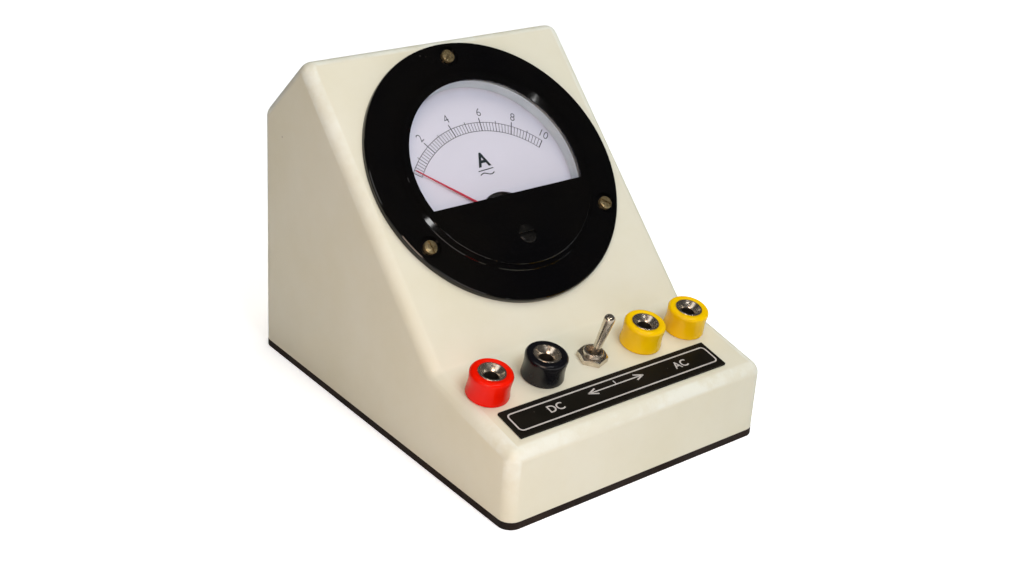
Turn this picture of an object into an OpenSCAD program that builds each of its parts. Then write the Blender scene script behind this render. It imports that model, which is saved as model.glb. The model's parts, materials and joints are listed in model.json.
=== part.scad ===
// Bench ammeter: a round moving-coil panel meter set in the sloping front of a moulded case,
// with four 4 mm sockets, a DC/AC toggle switch and a marked strip on the shelf below it.
// Millimetres. The origin is the centre of the footprint, on the surface that it stands on.

/* [Case] */
// Width of the case
case_w = 92.5; // [90:0.5:120]
// Depth of the case, front to back
case_d = 125; // [122:1:160]
// Height of the front wall
front_h = 22.7; // [21.5:0.1:35]
// Depth of the shelf, from the front wall to the foot of the slope
shelf_run = 35; // [34:0.2:45]
// Rise of the shelf over its depth
shelf_rise = 7.4; // [5:0.1:10]
// Depth of the slope, from its foot to the ridge
slope_run = 68.1; // [66:0.1:76]
// Height of the ridge
case_h = 98.6; // [97:0.2:115]
// Height of the back wall, where it meets the sloping top
back_h = 77.2; // [70:0.2:90]
// Thickness of the moulded walls
wall = 2.5; // [2:0.1:3]
// Radius of the outside edges
edge_r = 4; // [3.5:0.5:6]
// Radius of the crease at the foot of the slope
crease_r = 2.5; // [1:0.5:4]

/* [Base] */
// Thickness of the base plate
base_t = 2.2; // [1.8:0.1:3]
// Distance of the base screws from the outside walls
post_inset = 8.5; // [8:0.5:12]
// Radius of the screw posts
post_r = 4; // [3.5:0.1:5]
// Height of the screw posts
post_h = 12; // [9:1:14]
// Thickness of the webs that join the posts to the walls
web_t = 2; // [1.5:0.1:3]
// Shank radius of the base screws
base_screw_r = 1.45; // [1.2:0.05:1.8]
// Head radius of the base screws
base_screw_head_r = 3; // [2.6:0.1:3.5]
// Length of the base screws
base_screw_l = 9; // [7:0.5:10]

/* [Marked strip] */
// Distance from the case's left side to the strip
strip_left = 6.4; // [5:0.1:12]
// Distance from the strip to the case's right side
strip_right = 11.9; // [5:0.1:14]
// Height of the strip, up the shelf
strip_h = 10.4; // [6:0.2:11]
// Thickness of the strip
strip_t = 0.8; // [0.5:0.1:1.2]
// Centre of the strip, up the shelf from the front wall
strip_u = 9.9; // [9:0.1:12]

/* [Sockets] */
// Centre line of the sockets and the switch, up the shelf from the front wall
row_u = 23.4; // [22.5:0.1:26]
// Distance from the case's left side to the red socket
red_inset = 9.2; // [8.5:0.1:12]
// Distance between the red and black sockets
dc_pitch = 18.7; // [17:0.1:20]
// Distance between the two yellow sockets
ac_pitch = 17.1; // [16:0.1:19]
// Distance from the right yellow socket to the case's right side
yellow_inset = 11.5; // [8.5:0.1:12.5]
// Height of a socket head above the shelf
head_h = 7.6; // [7:0.2:11]
// Radius of a socket head at its foot
head_foot_r = 6.1; // [6:0.1:7.5]
// Radius of a socket head at its waist
head_waist_r = 5.85; // [5.5:0.05:6]
// Radius of a socket head at its rim
head_rim_r = 6.05; // [5.8:0.05:7]
// Radius of the rim's rounded edge
head_edge_r = 1; // [0.5:0.1:1.3]
// Radius of the spigot that centres a head in its panel hole
spigot_r = 4; // [3.8:0.1:4.4]
// Radius of the plug bore, for a 4 mm plug
plug_r = 2; // [1.9:0.05:2.2]
// Length of the parallel plug bore
plug_bore_l = 17; // [15:0.5:17]
// Radius of the sleeve's tube
sleeve_r = 3; // [2.8:0.1:3.2]
// Radius of the sleeve's flared mouth
mouth_r = 3.9; // [3.6:0.1:4.3]
// Depth of the flared mouth
mouth_depth = 2.6; // [2:0.1:3]
// Radius of the solder pin below the sleeve
pin_r = 1.5; // [1.2:0.1:1.8]
// Length of the solder pin
pin_l = 3.5; // [3:0.1:4.5]
// Thickness of the insulating washer below the panel
insulator_t = 2; // [1.5:0.1:2.5]
// Width of the socket nut across its flats
socket_nut_af = 9.5; // [9:0.1:10]
// Thickness of the socket nut
socket_nut_t = 2.8; // [2:0.1:3.2]
// Width of the shunt strip
shunt_w = 7; // [6:0.2:9]
// Thickness of the shunt strip
shunt_t = 0.8; // [0.5:0.1:1.2]
// Depth of the shunt's loop below the sleeves
shunt_drop = 3; // [2:0.2:3.4]

/* [Switch] */
// Switch, to the right of the case's middle
switch_x = -0.5; // [-1:0.1:1]
// Radius of the threaded bushing
bushing_r = 3; // [2.9:0.05:3.2]
// Height of the bushing above the shelf
bushing_h = 2.9; // [2.6:0.1:3.5]
// Width of the switch nut across its flats
switch_nut_af = 7.8; // [7.6:0.1:9]
// Thickness of the switch nut
switch_nut_t = 1.8; // [1.6:0.1:2.4]
// How far the switch's nut is turned
switch_nut_turn = 17; // [0:1:59]
// Thickness of the lock washer
lock_washer_t = 0.6; // [0.4:0.1:1]
// Width of the switch body
switch_body_w = 13; // [12:0.2:14]
// Depth of the switch body, up the shelf
switch_body_d = 7.9; // [7.5:0.1:9]
// Height of the switch body
switch_body_h = 8.6; // [8:0.2:9]
// Length of the switch terminals
switch_terminal_l = 4; // [3:0.2:4.5]
// Spacing of the switch terminals
switch_terminal_gap = 4.7; // [4.4:0.1:5]
// Lean of the lever from upright at either stop
lever_lean = 13; // [10:0.5:14]
// Length of the lever from its pivot to its tip
lever_l = 15.8; // [13:0.2:18]
// Radius of the lever at its tip
lever_tip_r = 1.3; // [1.1:0.05:1.5]
// Radius of the lever at its neck
lever_neck_r = 1.05; // [0.9:0.05:1.1]
// Radius of the lever's pivot ball
ball_r = 1.9; // [1.8:0.05:1.95]

/* [Meter housing] */
// Centre of the meter, to the right of the case's middle
meter_x = -0.2; // [-0.5:0.1:0.5]
// Distance from the ridge down the slope to the meter's centre
meter_drop = 44.4; // [43.5:0.1:45]
// Radius of the flange
flange_r = 41.5; // [40:0.5:42.5]
// Thickness of the flange
flange_t = 2; // [1.8:0.1:3]
// Radius of the flange's rounded edge
flange_edge_r = 1; // [0.4:0.1:1.4]
// Radius of the barrel behind the panel
barrel_r = 32.2; // [32:0.1:33]
// Depth of the barrel behind the panel's face
barrel_depth = 30; // [29.5:0.1:32]
// Wall of the barrel
barrel_wall = 2.2; // [2:0.1:2.3]
// Radius of the circle of the three meter screws
screw_circle_r = 37; // [36.5:0.1:37.5]
// Shank radius of the meter screws
meter_screw_r = 1.45; // [1.2:0.05:1.6]
// Head radius of the meter screws
meter_screw_head_r = 2.5; // [2.2:0.1:2.8]
// Head height of the meter screws
meter_screw_head_h = 1.5; // [1:0.1:2]
// Depth of the recess round each screw head
screw_recess = 0.9; // [0.5:0.1:1.1]
// Length of the meter screws below their heads
meter_screw_l = 10; // [9:0.5:14]
// Width of the meter nuts across their flats
meter_nut_af = 5.5; // [5:0.1:6.5]
// Thickness of the meter nuts
meter_nut_t = 2.4; // [2:0.1:3]

/* [Window and dial] */
// Radius of the bezel at its foot
bezel_foot_r = 32.6; // [32.4:0.1:33]
// Radius of the bezel's front edge
bezel_edge_r = 30.6; // [30.2:0.1:31.2]
// Height of the bezel above the flange
bezel_h = 1.4; // [1.3:0.1:2.5]
// Radius of the window
window_r = 28.3; // [27.5:0.1:28.6]
// Distance from the meter's centre down to the cover's straight edge
cover_drop = 9; // [8:0.5:9.5]
// Thickness of the window's lip and of the cover's front edge
lip_t = 0.5; // [0.4:0.1:0.7]
// Thickness of the lens
lens_t = 1.6; // [1.2:0.1:1.7]
// Depth of the dial's face behind the panel's face
dial_depth = 2.7; // [2.6:0.1:2.9]
// Thickness of the dial
dial_t = 0.6; // [0.5:0.1:0.8]
// Radius of the opening in the dial
dial_opening_r = 9.3; // [9:0.1:9.4]
// Inside radius of the pale ring between the dial and the lens
surround_r = 29; // [28.8:0.05:29.2]
// Distance from the adjuster to the meter's centre
adjuster_drop = 21.8; // [21.5:0.1:22.2]
// Radius of the adjuster
adjuster_r = 3; // [2.6:0.1:3.2]
// Throw of the adjuster's eccentric pin
adjuster_throw = 1.2; // [1:0.1:1.4]

/* [Movement] */
// Distance from the pointer's pivot to the meter's centre
pivot_drop = 15.3; // [15:0.1:15.6]
// Angle of the pointer at rest, to the left of upright
pointer_rest = 48.5; // [45:0.5:50]
// Length of the pointer from its pivot to its tip
pointer_l = 31.6; // [26:0.2:32]
// Thickness of the pointer
pointer_t = 0.4; // [0.3:0.05:0.5]
// Height of the pointer above the dial
pointer_gap = 0.4; // [0.3:0.05:0.5]
// Outside radius of the yoke ring
yoke_r = 12.5; // [12.4:0.05:12.6]
// Inside radius of the yoke ring
yoke_bore_r = 8.6; // [8.5:0.05:8.8]
// Height of the yoke ring
yoke_h = 12; // [11:0.1:12.4]
// Radius of the magnet core
core_r = 6.4; // [6:0.05:6.5]
// Width of the coil across its frame
coil_w = 16.2; // [16:0.05:16.3]
// Thickness of the coil, front to back
coil_d = 3; // [2.4:0.1:3.2]
// Build of the copper winding
winding_t = 0.9; // [0.6:0.05:0.95]
// Thickness of the coil's aluminium former
former_t = 0.3; // [0.2:0.05:0.35]
// Clearance between the coil and the core's ends
coil_clear = 0.5; // [0.4:0.05:0.6]
// Radius of the pivot staffs
staff_r = 0.4; // [0.3:0.05:0.5]
// Radius of the jewel screws
jewel_r = 1.2; // [1.1:0.05:1.4]
// Thickness of the front bridge
bridge_t = 0.9; // [0.8:0.05:1]
// Thickness of the cast frame behind the yoke
frame_t = 1.8; // [1.6:0.1:2.2]
// Turns in each hairspring
spring_turns = 3; // [2:1:4]

/* [Terminals and board] */
// Distance of each terminal stud from the meter's centre line
stud_x = 13; // [12.5:0.5:16]
// Height of the terminal studs above the meter's centre
stud_y = 8; // [6:0.5:9]
// Radius of the terminal studs
stud_r = 2; // [1.8:0.1:2.3]
// Thickness of the stud nuts
stud_nut_t = 3; // [2.5:0.1:3.5]
// Width of the stud nuts across their flats
stud_nut_af = 7; // [6.6:0.1:8]
// Width of the circuit board
board_w = 48; // [46:1:54]
// Height of the circuit board
board_h = 36; // [35:1:40]
// Thickness of the circuit board
board_t = 1.6; // [1.2:0.1:2]

/* [Hidden] */
$fn = 64;

// Clearances
slip = 0.05;        // a turning or sliding fit
hole_gap = 0.1;     // a fixed piece in its hole
cut = 1;            // how far a cutter runs past a face

// Case
front_y = -case_d / 2;
back_y = case_d / 2;
crease_y = front_y + shelf_run;
crease_h = front_h + shelf_rise;
ridge_y = crease_y + slope_run;
shelf_tilt = atan2(shelf_rise, shelf_run);
slope_tilt = atan2(case_h - crease_h, slope_run);
slope_l = norm([slope_run, case_h - crease_h]);
meter_s = slope_l - meter_drop;
below = 3 * edge_r; // the form runs this far below the base before it is trimmed
base_screw_sink = 0.15;
post_x = case_w / 2 - post_inset;
post_y = case_d / 2 - post_inset;

// Marked strip
strip_w = case_w - strip_left - strip_right;
strip_x = (strip_left - strip_right) / 2;

// Sockets, measured from the shelf's surface
red_x = red_inset - case_w / 2;
black_x = red_x + dc_pitch;
right_yellow_x = case_w / 2 - yellow_inset;
left_yellow_x = right_yellow_x - ac_pitch;
socket_xs = [red_x, black_x, left_yellow_x, right_yellow_x];
mouth_z = head_h - 0.1;
mouth_lip = 0.6;
bore_top = mouth_z - mouth_depth;
bore_end = bore_top - plug_bore_l;
sleeve_end = bore_end - 2;
pin_end = sleeve_end - pin_l;
nut_z = -wall - insulator_t - socket_nut_t;
seat_r = 8;         // flat seat moulded below the panel round each hole

// Switch, measured from the shelf's surface
frame_plate_t = 0.8;
frame_plate_z = -wall - lock_washer_t - frame_plate_t;
switch_body_z = frame_plate_z - switch_body_h;
switch_terminal_z = switch_body_z - switch_terminal_l;
switch_pivot_z = -1.2;
ball_seat_r = ball_r + slip;
bushing_neck_z = switch_pivot_z + 1.7;
bushing_neck_r = lever_neck_r + 1.7 * tan(lever_lean) + 0.25;
bushing_mouth_r = bushing_r - 0.5;
actuator_l = 3.2;
trunnion_r = 0.5;    // the lever's pin, across the bushing
trunnion_l = 2 * (bushing_r - 0.2);

// Meter, measured from the slope's surface
panel_hole_r = barrel_r + 0.5;
barrel_in_r = barrel_r - barrel_wall;
barrel_floor = -barrel_depth + barrel_wall;
bezel_top = flange_t + bezel_h;
lip_top = bezel_top - 0.7;
lens_seat_r = barrel_in_r + 0.2;
lens_top = lip_top - lip_t;
lens_bottom = lens_top - lens_t;
lens_drop = cover_drop + 3;
cover_bottom = lens_bottom + 0.7;
groove_r = (barrel_in_r + bezel_foot_r) / 2;
groove_w = 0.8;
groove_depth = 0.9;
bezel_edge_round = 0.5;
dial_bottom = -dial_depth - dial_t;
ledge_t = 1.2;
ledge_r = barrel_in_r - 2.5;
dial_screw_x = 19.5;
dial_screw_drop = 18;
dial_screw_r = 0.95;
dial_screw_l = 3;
dial_screw_head_r = 1.9;
dial_screw_head_h = 1;
dial_boss_r = 3.8;
dial_boss_h = 4;
screw_seat = flange_t - screw_recess;
washer_t = 0.6;

// Movement, measured from the slope's surface
pointer_z = -dial_depth + pointer_gap;
pointer_top = pointer_z + pointer_t;
yoke_top = dial_bottom - 1.5;
yoke_bottom = yoke_top - yoke_h;
core_top = yoke_top - 0.4;
core_bottom = yoke_bottom + 0.4;
coil_in_top = core_top + coil_clear;
coil_in_bottom = core_bottom - coil_clear;
coil_out_top = coil_in_top + former_t + winding_t;
coil_out_bottom = coil_in_bottom - former_t - winding_t;
hub_r = 1.5;
front_spring_z = pointer_top + 0.15;
spring_h = 0.5;
collar_r = adjuster_r + 0.9;
collar_t = 0.7;
collar_bottom = cover_bottom - slip - collar_t;
arm_t = 0.3;
arm_top = collar_bottom - slip;
bridge_top = arm_top - arm_t;
bridge_z = bridge_top - bridge_t;
jewel_top = arm_top + 0.3;
jewel_bottom = bridge_z - 0.4;
pillar_x = (yoke_r + yoke_bore_r) / 2 + 0.35;
pillar_r = 1.1;
frame_gap = 3.5;    // from the yoke to the frame's bar
frame_top = yoke_bottom - frame_gap;
frame_bottom = frame_top - frame_t;
frame_screw_x = 20;
frame_boss_r = 3.2;
frame_screw_r = 1.2;
frame_screw_l = 6;
frame_screw_head_r = 2.4;
frame_screw_head_h = 1.5;
frame_bar_w = 5;
frame_eye_r = 3.4;
frame_leg_r = 1.5;
bridge_w = 3.2;
bridge_eye_r = 2.6;
spacer_w = 5;
spacer_end = 1.5;    // from a spacer's ends to the core's
rear_spring_z = coil_out_bottom - 0.9;
rear_jewel_top = frame_top + 0.4;
rear_jewel_bottom = frame_bottom - 0.7;
eccentric_r = 0.5;
eccentric_drop = adjuster_drop - adjuster_throw - pivot_drop;
fork_gap = 0.06;
tail_l = 6;          // the pointer's tail arm
side_l = 4.5;        // its side arms
tail_weight_r = 1.45;
stop_r = 0.4;
stop_ring_r = 10.2;
overtravel = 2;     // the pointer's travel past each end of the scale
stop_angle = pointer_rest + overtravel + 4.2;

// Board, measured from the slope's surface
board_front = -barrel_depth - stud_nut_t;
board_back = board_front - board_t;
stud_end = board_back - stud_nut_t - 2;
pad_y = 2.5 - board_h / 2;
pad_xs = [-21, -14, -7, 0, 7, 14, 21];
core_block = [22, 8, 18];
core_window = [11, 0, 8];
core_y = -7;
bobbin_gap = 0.15;
rectifier_y = 11;
rectifier_r = 4.5;
rectifier_h = 5.5;
resistor_r = 1.2;
resistor_l = 7;
resistor_x = 17;
resistor_gap = 0.6;
wire_r = 0.3;
wire_end_l = 2;
leg_w = 0.8;

// Leads: each route runs along the floor of the case, then up behind the meter to the board
thick_lead_r = 1.1;
thin_lead_r = 0.7;
lead_drop = 1.6;     // straight down from a pin before the first bend
lead_rise = 4;       // straight up to a pad after the last bend
lead_reach = 11;     // from there towards the floor
lead_bend = 6;       // how far the bends reach forward and back
lead_floor = 4.5;    // height of the leads along the floor
lead_lift = 3;       // and how far they lift off it below the board

// ---- frames and helpers -------------------------------------------------------------------

// Puts children on the shelf, x across and u up the shelf from the front wall, +Z out of it
module on_shelf(x, u) {
    translate([0, front_y, front_h])
        rotate([shelf_tilt, 0, 0])
            translate([x, u, 0])
                children();
}

// Puts children on the slope, at the meter's centre, +Z out of the panel
module on_slope() {
    translate([meter_x, crease_y, crease_h])
        rotate([slope_tilt, 0, 0])
            translate([0, meter_s, 0])
                children();
}

// Puts children on the pointer's pivot
module on_pivot() {
    on_slope() translate([0, -pivot_drop, 0]) children();
}

function shelf_point(x, u, z) =
    [x, front_y + u * cos(shelf_tilt) - z * sin(shelf_tilt),
     front_h + u * sin(shelf_tilt) + z * cos(shelf_tilt)];

function slope_point(x, y, z) =
    [meter_x + x, crease_y + (meter_s + y) * cos(slope_tilt) - z * sin(slope_tilt),
     crease_h + (meter_s + y) * sin(slope_tilt) + z * cos(slope_tilt)];

function arc(centre, r, from, to, steps) =
    [for (i = [0:steps]) let (a = from + (to - from) * i / steps)
        centre + r * [cos(a), sin(a)]];

// Smooth step from 0 to 1
function ease(t) = (1 - cos(180 * t)) / 2;

module revolve(points) {
    rotate_extrude() polygon(points);
}

module disc(r, from, to) {
    translate([0, 0, min(from, to)]) cylinder(r = r, h = abs(to - from));
}

module ring(outer, inner, from, to) {
    difference() {
        disc(outer, from, to);
        disc(inner, min(from, to) - cut, max(from, to) + cut);
    }
}

// A block centred on X and Y, from one height to another
module block(size, from, to) {
    translate([-size[0] / 2, -size[1] / 2, min(from, to)])
        cube([size[0], size[1], abs(to - from)]);
}

module hex(af, bore, from, to) {
    difference() {
        translate([0, 0, min(from, to)])
            cylinder(r = af / 2 / cos(30), h = abs(to - from), $fn = 6);
        disc(bore, min(from, to) - cut, max(from, to) + cut);
    }
}

module each_post() {
    for (x = [-post_x, post_x], y = [-post_y, post_y]) translate([x, y, 0]) children();
}

module each_socket() {
    for (x = socket_xs) on_shelf(x, row_u) children();
}

module each_meter_screw() {
    on_slope() for (a = [90, 210, 330]) rotate(a) translate([screw_circle_r, 0, 0]) children();
}

module each_side(x) {
    for (side = [-1, 1]) translate([side * x, 0, 0]) children();
}

// ---- case ---------------------------------------------------------------------------------

module case_outline() {
    polygon([
        [front_y, -below], [front_y, front_h], [crease_y, crease_h],
        [ridge_y, case_h], [back_y, back_h], [back_y, -below]
    ]);
}

// The case's rounded form, set in from its outer surface
module case_form(inset) {
    minkowski() {
        rotate([90, 0, 90])
            linear_extrude(case_w - 2 * edge_r, center = true)
                offset(r = -edge_r - crease_r, $fn = 48)
                    offset(delta = crease_r)
                        case_outline();
        sphere(r = edge_r - inset, $fn = 24);
    }
}

module post_webs() {
    for (side = [-1, 1], end = [-1, 1])
        translate([side * post_x, end * post_y, base_t]) {
            translate([side > 0 ? 0 : -post_inset + wall / 2, -web_t / 2, 0])
                cube([post_inset - wall / 2, web_t, post_h]);
            translate([-web_t / 2, end > 0 ? 0 : -post_inset + wall / 2, 0])
                cube([web_t, post_inset - wall / 2, post_h]);
        }
}

module case_shell() {
    color("ivory") difference() {
        union() {
            difference() {
                case_form(0);
                case_form(wall);
                translate([-case_w, -case_d, base_t - 4 * below])
                    cube([2 * case_w, 2 * case_d, 4 * below]);
            }
            each_post() disc(post_r, base_t, base_t + post_h);
            post_webs();
        }
        each_post() disc(base_screw_r + slip, 0, base_screw_l + 1);
        each_socket() {
            disc(spigot_r + hole_gap, -2 * wall, cut);
            disc(seat_r, -wall, -2 * wall);
        }
        on_shelf(switch_x, row_u) {
            disc(bushing_r + hole_gap, -2 * wall, cut);
            disc(seat_r, -wall, -2 * wall);
        }
        on_slope() disc(panel_hole_r, -3 * wall, cut);
        each_meter_screw() {
            disc(meter_screw_r + hole_gap, -3 * wall, cut);
            disc(meter_nut_af, -wall, -2 * wall);
        }
    }
}

module base_plate() {
    color([0.13, 0.1, 0.09]) difference() {
        linear_extrude(base_t)
            offset(r = edge_r, $fn = 48)
                square([case_w - 2 * edge_r, case_d - 2 * edge_r], center = true);
        each_post() {
            disc(base_screw_r + hole_gap, -cut, base_t + cut);
            disc(base_screw_head_r + hole_gap, -cut, base_screw_sink);
            translate([0, 0, base_screw_sink])
                cylinder(r1 = base_screw_head_r + hole_gap, r2 = base_screw_r + hole_gap,
                         h = base_screw_head_r - base_screw_r);
        }
    }
}

module base_screws() {
    color("silver") each_post() translate([0, 0, base_screw_sink]) difference() {
        union() {
            cylinder(r1 = base_screw_head_r, r2 = base_screw_r,
                     h = base_screw_head_r - base_screw_r);
            disc(base_screw_r, 0.5, base_screw_l);
        }
        block([2 * base_screw_head_r + 1, 0.8, 0], -cut, 0.6);
    }
}

module label_plate() {
    color([0.12, 0.1, 0.1]) on_shelf(strip_x, strip_u) block([strip_w, strip_h, 0], 0, strip_t);
}

// ---- sockets ------------------------------------------------------------------------------

// The head's side: a flared foot, a waist and a rolled rim
function head_side() = let (waist_z = 0.55 * head_h, rim_z = head_h - head_edge_r) concat(
    [for (i = [0:6]) [head_foot_r + (head_waist_r - head_foot_r) * ease(i / 6), waist_z * i / 6]],
    [for (i = [1:4]) [head_waist_r + (head_rim_r - head_waist_r) * ease(i / 4),
                      waist_z + (rim_z - waist_z) * i / 4]],
    arc([head_rim_r - head_edge_r, rim_z], head_edge_r, 0, 90, 6)
);

module socket_head(x, tint) {
    color(tint) on_shelf(x, row_u) union() {
        revolve(concat(
            [[sleeve_r + hole_gap, 0]],
            head_side(),
            [[mouth_r + hole_gap, head_h],
             [mouth_r + hole_gap, mouth_z - mouth_lip],
             [sleeve_r + hole_gap, bore_top]]
        ));
        ring(spigot_r, sleeve_r + hole_gap, 0.5, -wall + 0.2);
    }
}

module socket_sleeve(x) {
    color("silver") on_shelf(x, row_u) revolve([
        [0, pin_end], [pin_r, pin_end], [pin_r, sleeve_end], [sleeve_r, sleeve_end],
        [sleeve_r, bore_top], [mouth_r, mouth_z - mouth_lip], [mouth_r, mouth_z],
        [mouth_r - 0.35, mouth_z], [plug_r, bore_top], [plug_r, bore_end], [0, bore_end]
    ]);
}

module red_socket_head() { socket_head(red_x, "red"); }
module black_socket_head() { socket_head(black_x, [0.1, 0.1, 0.1]); }
module left_yellow_socket_head() { socket_head(left_yellow_x, "gold"); }
module right_yellow_socket_head() { socket_head(right_yellow_x, "gold"); }
module red_socket_sleeve() { socket_sleeve(red_x); }
module black_socket_sleeve() { socket_sleeve(black_x); }
module left_yellow_socket_sleeve() { socket_sleeve(left_yellow_x); }
module right_yellow_socket_sleeve() { socket_sleeve(right_yellow_x); }

module socket_insulators() {
    color("tan") each_socket()
        ring(head_foot_r, sleeve_r + hole_gap, -wall, -wall - insulator_t);
}

module socket_nuts() {
    color("silver") each_socket()
        hex(socket_nut_af, sleeve_r + slip, -wall - insulator_t, nut_z);
}

// A resistance strip between the red and black sockets, looped downwards at the middle
module dc_shunt() {
    low = sleeve_end - shunt_t;
    loop_w = dc_pitch / 2;
    color([0.72, 0.5, 0.3]) difference() {
        on_shelf((red_x + black_x) / 2, row_u) difference() {
            union() {
                block([dc_pitch + shunt_w, shunt_w, 0], sleeve_end, low);
                block([loop_w, shunt_w, 0], sleeve_end, low - shunt_drop);
            }
            block([loop_w - 2 * shunt_t, shunt_w + 2 * cut, 0],
                  sleeve_end + cut, low - shunt_drop + shunt_t);
        }
        for (x = [red_x, black_x])
            on_shelf(x, row_u) disc(pin_r + slip, pin_end - cut, sleeve_end + cut);
    }
}

// ---- switch -------------------------------------------------------------------------------

module switch_bushing() {
    color("silver") on_shelf(switch_x, row_u) difference() {
        union() {
            disc(bushing_r, frame_plate_z + 0.2, bushing_h);
            block([switch_body_w - 0.6, switch_body_d, 0], frame_plate_z, -wall - lock_washer_t);
        }
        revolve([
            [0, frame_plate_z - cut], [ball_seat_r, frame_plate_z - cut],
            [ball_seat_r, bushing_neck_z - 0.5], [bushing_neck_r, bushing_neck_z],
            [bushing_mouth_r, bushing_h], [bushing_mouth_r, bushing_h + cut], [0, bushing_h + cut]
        ]);
        translate([0, 0, switch_pivot_z]) trunnion(trunnion_r + slip, trunnion_l + 2 * slip);
    }
}

// A round pin up the shelf, centred on the lever's pivot
module trunnion(r, length) {
    rotate([90, 0, 0]) cylinder(r = r, h = length, center = true);
}

module switch_body() {
    color([0.08, 0.08, 0.1]) on_shelf(switch_x, row_u) difference() {
        block([switch_body_w, switch_body_d, 0], frame_plate_z, switch_body_z);
        block([switch_body_w - 5, 4, 0], frame_plate_z + cut, frame_plate_z - 3);
    }
}

module switch_terminals() {
    color("silver") on_shelf(switch_x, row_u)
        for (i = [-1, 0, 1])
            translate([i * switch_terminal_gap, 0, 0])
                block([0.8, 2, 0], switch_body_z, switch_terminal_z);
}

module switch_nut() {
    corner_r = switch_nut_af / 2 / cos(30);
    color("silver") on_shelf(switch_x, row_u) intersection() {
        rotate(switch_nut_turn) hex(switch_nut_af, bushing_r + slip, 0, switch_nut_t);
        revolve([
            [0, -cut], [corner_r + cut, -cut], [corner_r + cut, switch_nut_t - 1],
            [switch_nut_af / 2 - 0.3, switch_nut_t], [0, switch_nut_t]
        ]);
    }
}

module switch_lock_washer() {
    color("silver") on_shelf(switch_x, row_u)
        ring(bushing_r + 2, bushing_r + hole_gap, -wall, -wall - lock_washer_t);
}

module switch_lever() {
    neck_z = 1.2;
    color("silver") on_shelf(switch_x, row_u)
        translate([0, 0, switch_pivot_z])
            rotate([0, lever_lean, 0])
                union() {
                    sphere(r = ball_r);
                    trunnion(trunnion_r, trunnion_l);
                    revolve(concat(
                        [[0, -actuator_l], [0.6, -actuator_l], [0.9, -1], [lever_neck_r, neck_z],
                         [lever_tip_r, lever_l - lever_tip_r]],
                        arc([0, lever_l - lever_tip_r], lever_tip_r, 15, 90, 5)
                    ));
                }
}

// ---- meter housing and window -------------------------------------------------------------

module meter_housing() {
    color([0.06, 0.06, 0.06]) difference() {
        on_slope() union() {
            revolve(concat(
                [[0, -barrel_depth], [barrel_r - 0.8, -barrel_depth],
                 [barrel_r, -barrel_depth + 0.8], [barrel_r, 0], [flange_r, 0]],
                arc([flange_r - flange_edge_r, flange_t - flange_edge_r],
                    flange_edge_r, 0, 90, 5),
                [[lens_seat_r, flange_t], [lens_seat_r, lens_bottom],
                 [barrel_in_r, lens_bottom], [barrel_in_r, dial_bottom],
                 [ledge_r, dial_bottom], [ledge_r, dial_bottom - ledge_t],
                 [barrel_in_r, dial_bottom - ledge_t], [barrel_in_r, barrel_floor],
                 [0, barrel_floor]]
            ));
            translate([0, -pivot_drop, 0]) each_side(frame_screw_x)
                disc(frame_boss_r, barrel_floor - 0.5, frame_bottom);
            translate([0, -dial_screw_drop, 0]) each_side(dial_screw_x)
                disc(dial_boss_r, dial_bottom - dial_boss_h, dial_bottom);
        }
        on_slope() {
            ring(groove_r + groove_w / 2, groove_r - groove_w / 2,
                 flange_t - groove_depth, flange_t + cut);
            translate([0, -pivot_drop, 0]) each_side(frame_screw_x)
                disc(frame_screw_r, barrel_floor, frame_bottom + cut);
            translate([0, -dial_screw_drop, 0]) each_side(dial_screw_x)
                disc(dial_screw_r, -dial_depth - dial_screw_l - hole_gap, dial_bottom + cut);
            translate([0, stud_y, 0]) each_side(stud_x)
                disc(stud_r + slip, -barrel_depth - cut, barrel_floor + cut);
        }
        each_meter_screw() {
            disc(meter_screw_r + hole_gap, -cut, flange_t + cut);
            disc(meter_screw_head_r + 0.8, screw_seat, flange_t + cut);
        }
    }
}

// The bezel ring, moulded with the cover over the lower part of the window
module meter_bezel() {
    color([0.06, 0.06, 0.06]) on_slope() difference() {
        union() {
            revolve(concat(
                [[lens_seat_r, flange_t], [bezel_foot_r, flange_t],
                 [bezel_foot_r - 0.2, flange_t + 0.3],
                 [bezel_edge_r + 0.4, bezel_top - bezel_edge_round]],
                arc([bezel_edge_r, bezel_top - bezel_edge_round], bezel_edge_round, 10, 90, 4),
                [[window_r, lip_top], [window_r, lens_top], [lens_seat_r, lens_top]]
            ));
            ring(groove_r + groove_w / 2 - slip, groove_r - groove_w / 2 + slip,
                 flange_t - groove_depth + slip, flange_t + 0.2);
            cover(cover_drop, lens_top, lip_top);
            cover(lens_drop + 0.3, cover_bottom, lip_top);
        }
        translate([0, -adjuster_drop, 0])
            disc(adjuster_r + slip, cover_bottom - cut, lip_top + cut);
    }
}

// The part of the window below a straight edge
module cover(drop, from, to) {
    intersection() {
        disc(window_r + 0.3, from, to);
        translate([-2 * window_r, -drop - 4 * window_r, from - cut])
            cube([4 * window_r, 4 * window_r, to - from + 2 * cut]);
    }
}

module meter_lens() {
    color([0.85, 0.9, 0.95, 0.3]) on_slope() intersection() {
        disc(lens_seat_r - hole_gap, lens_bottom, lens_top);
        translate([-2 * window_r, -lens_drop, lens_bottom - cut])
            cube([4 * window_r, 4 * window_r, lens_t + 2 * cut]);
    }
}

module dial_surround() {
    color([0.75, 0.8, 0.84]) on_slope()
        ring(barrel_in_r - slip, surround_r, -dial_depth, lens_bottom);
}

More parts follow.
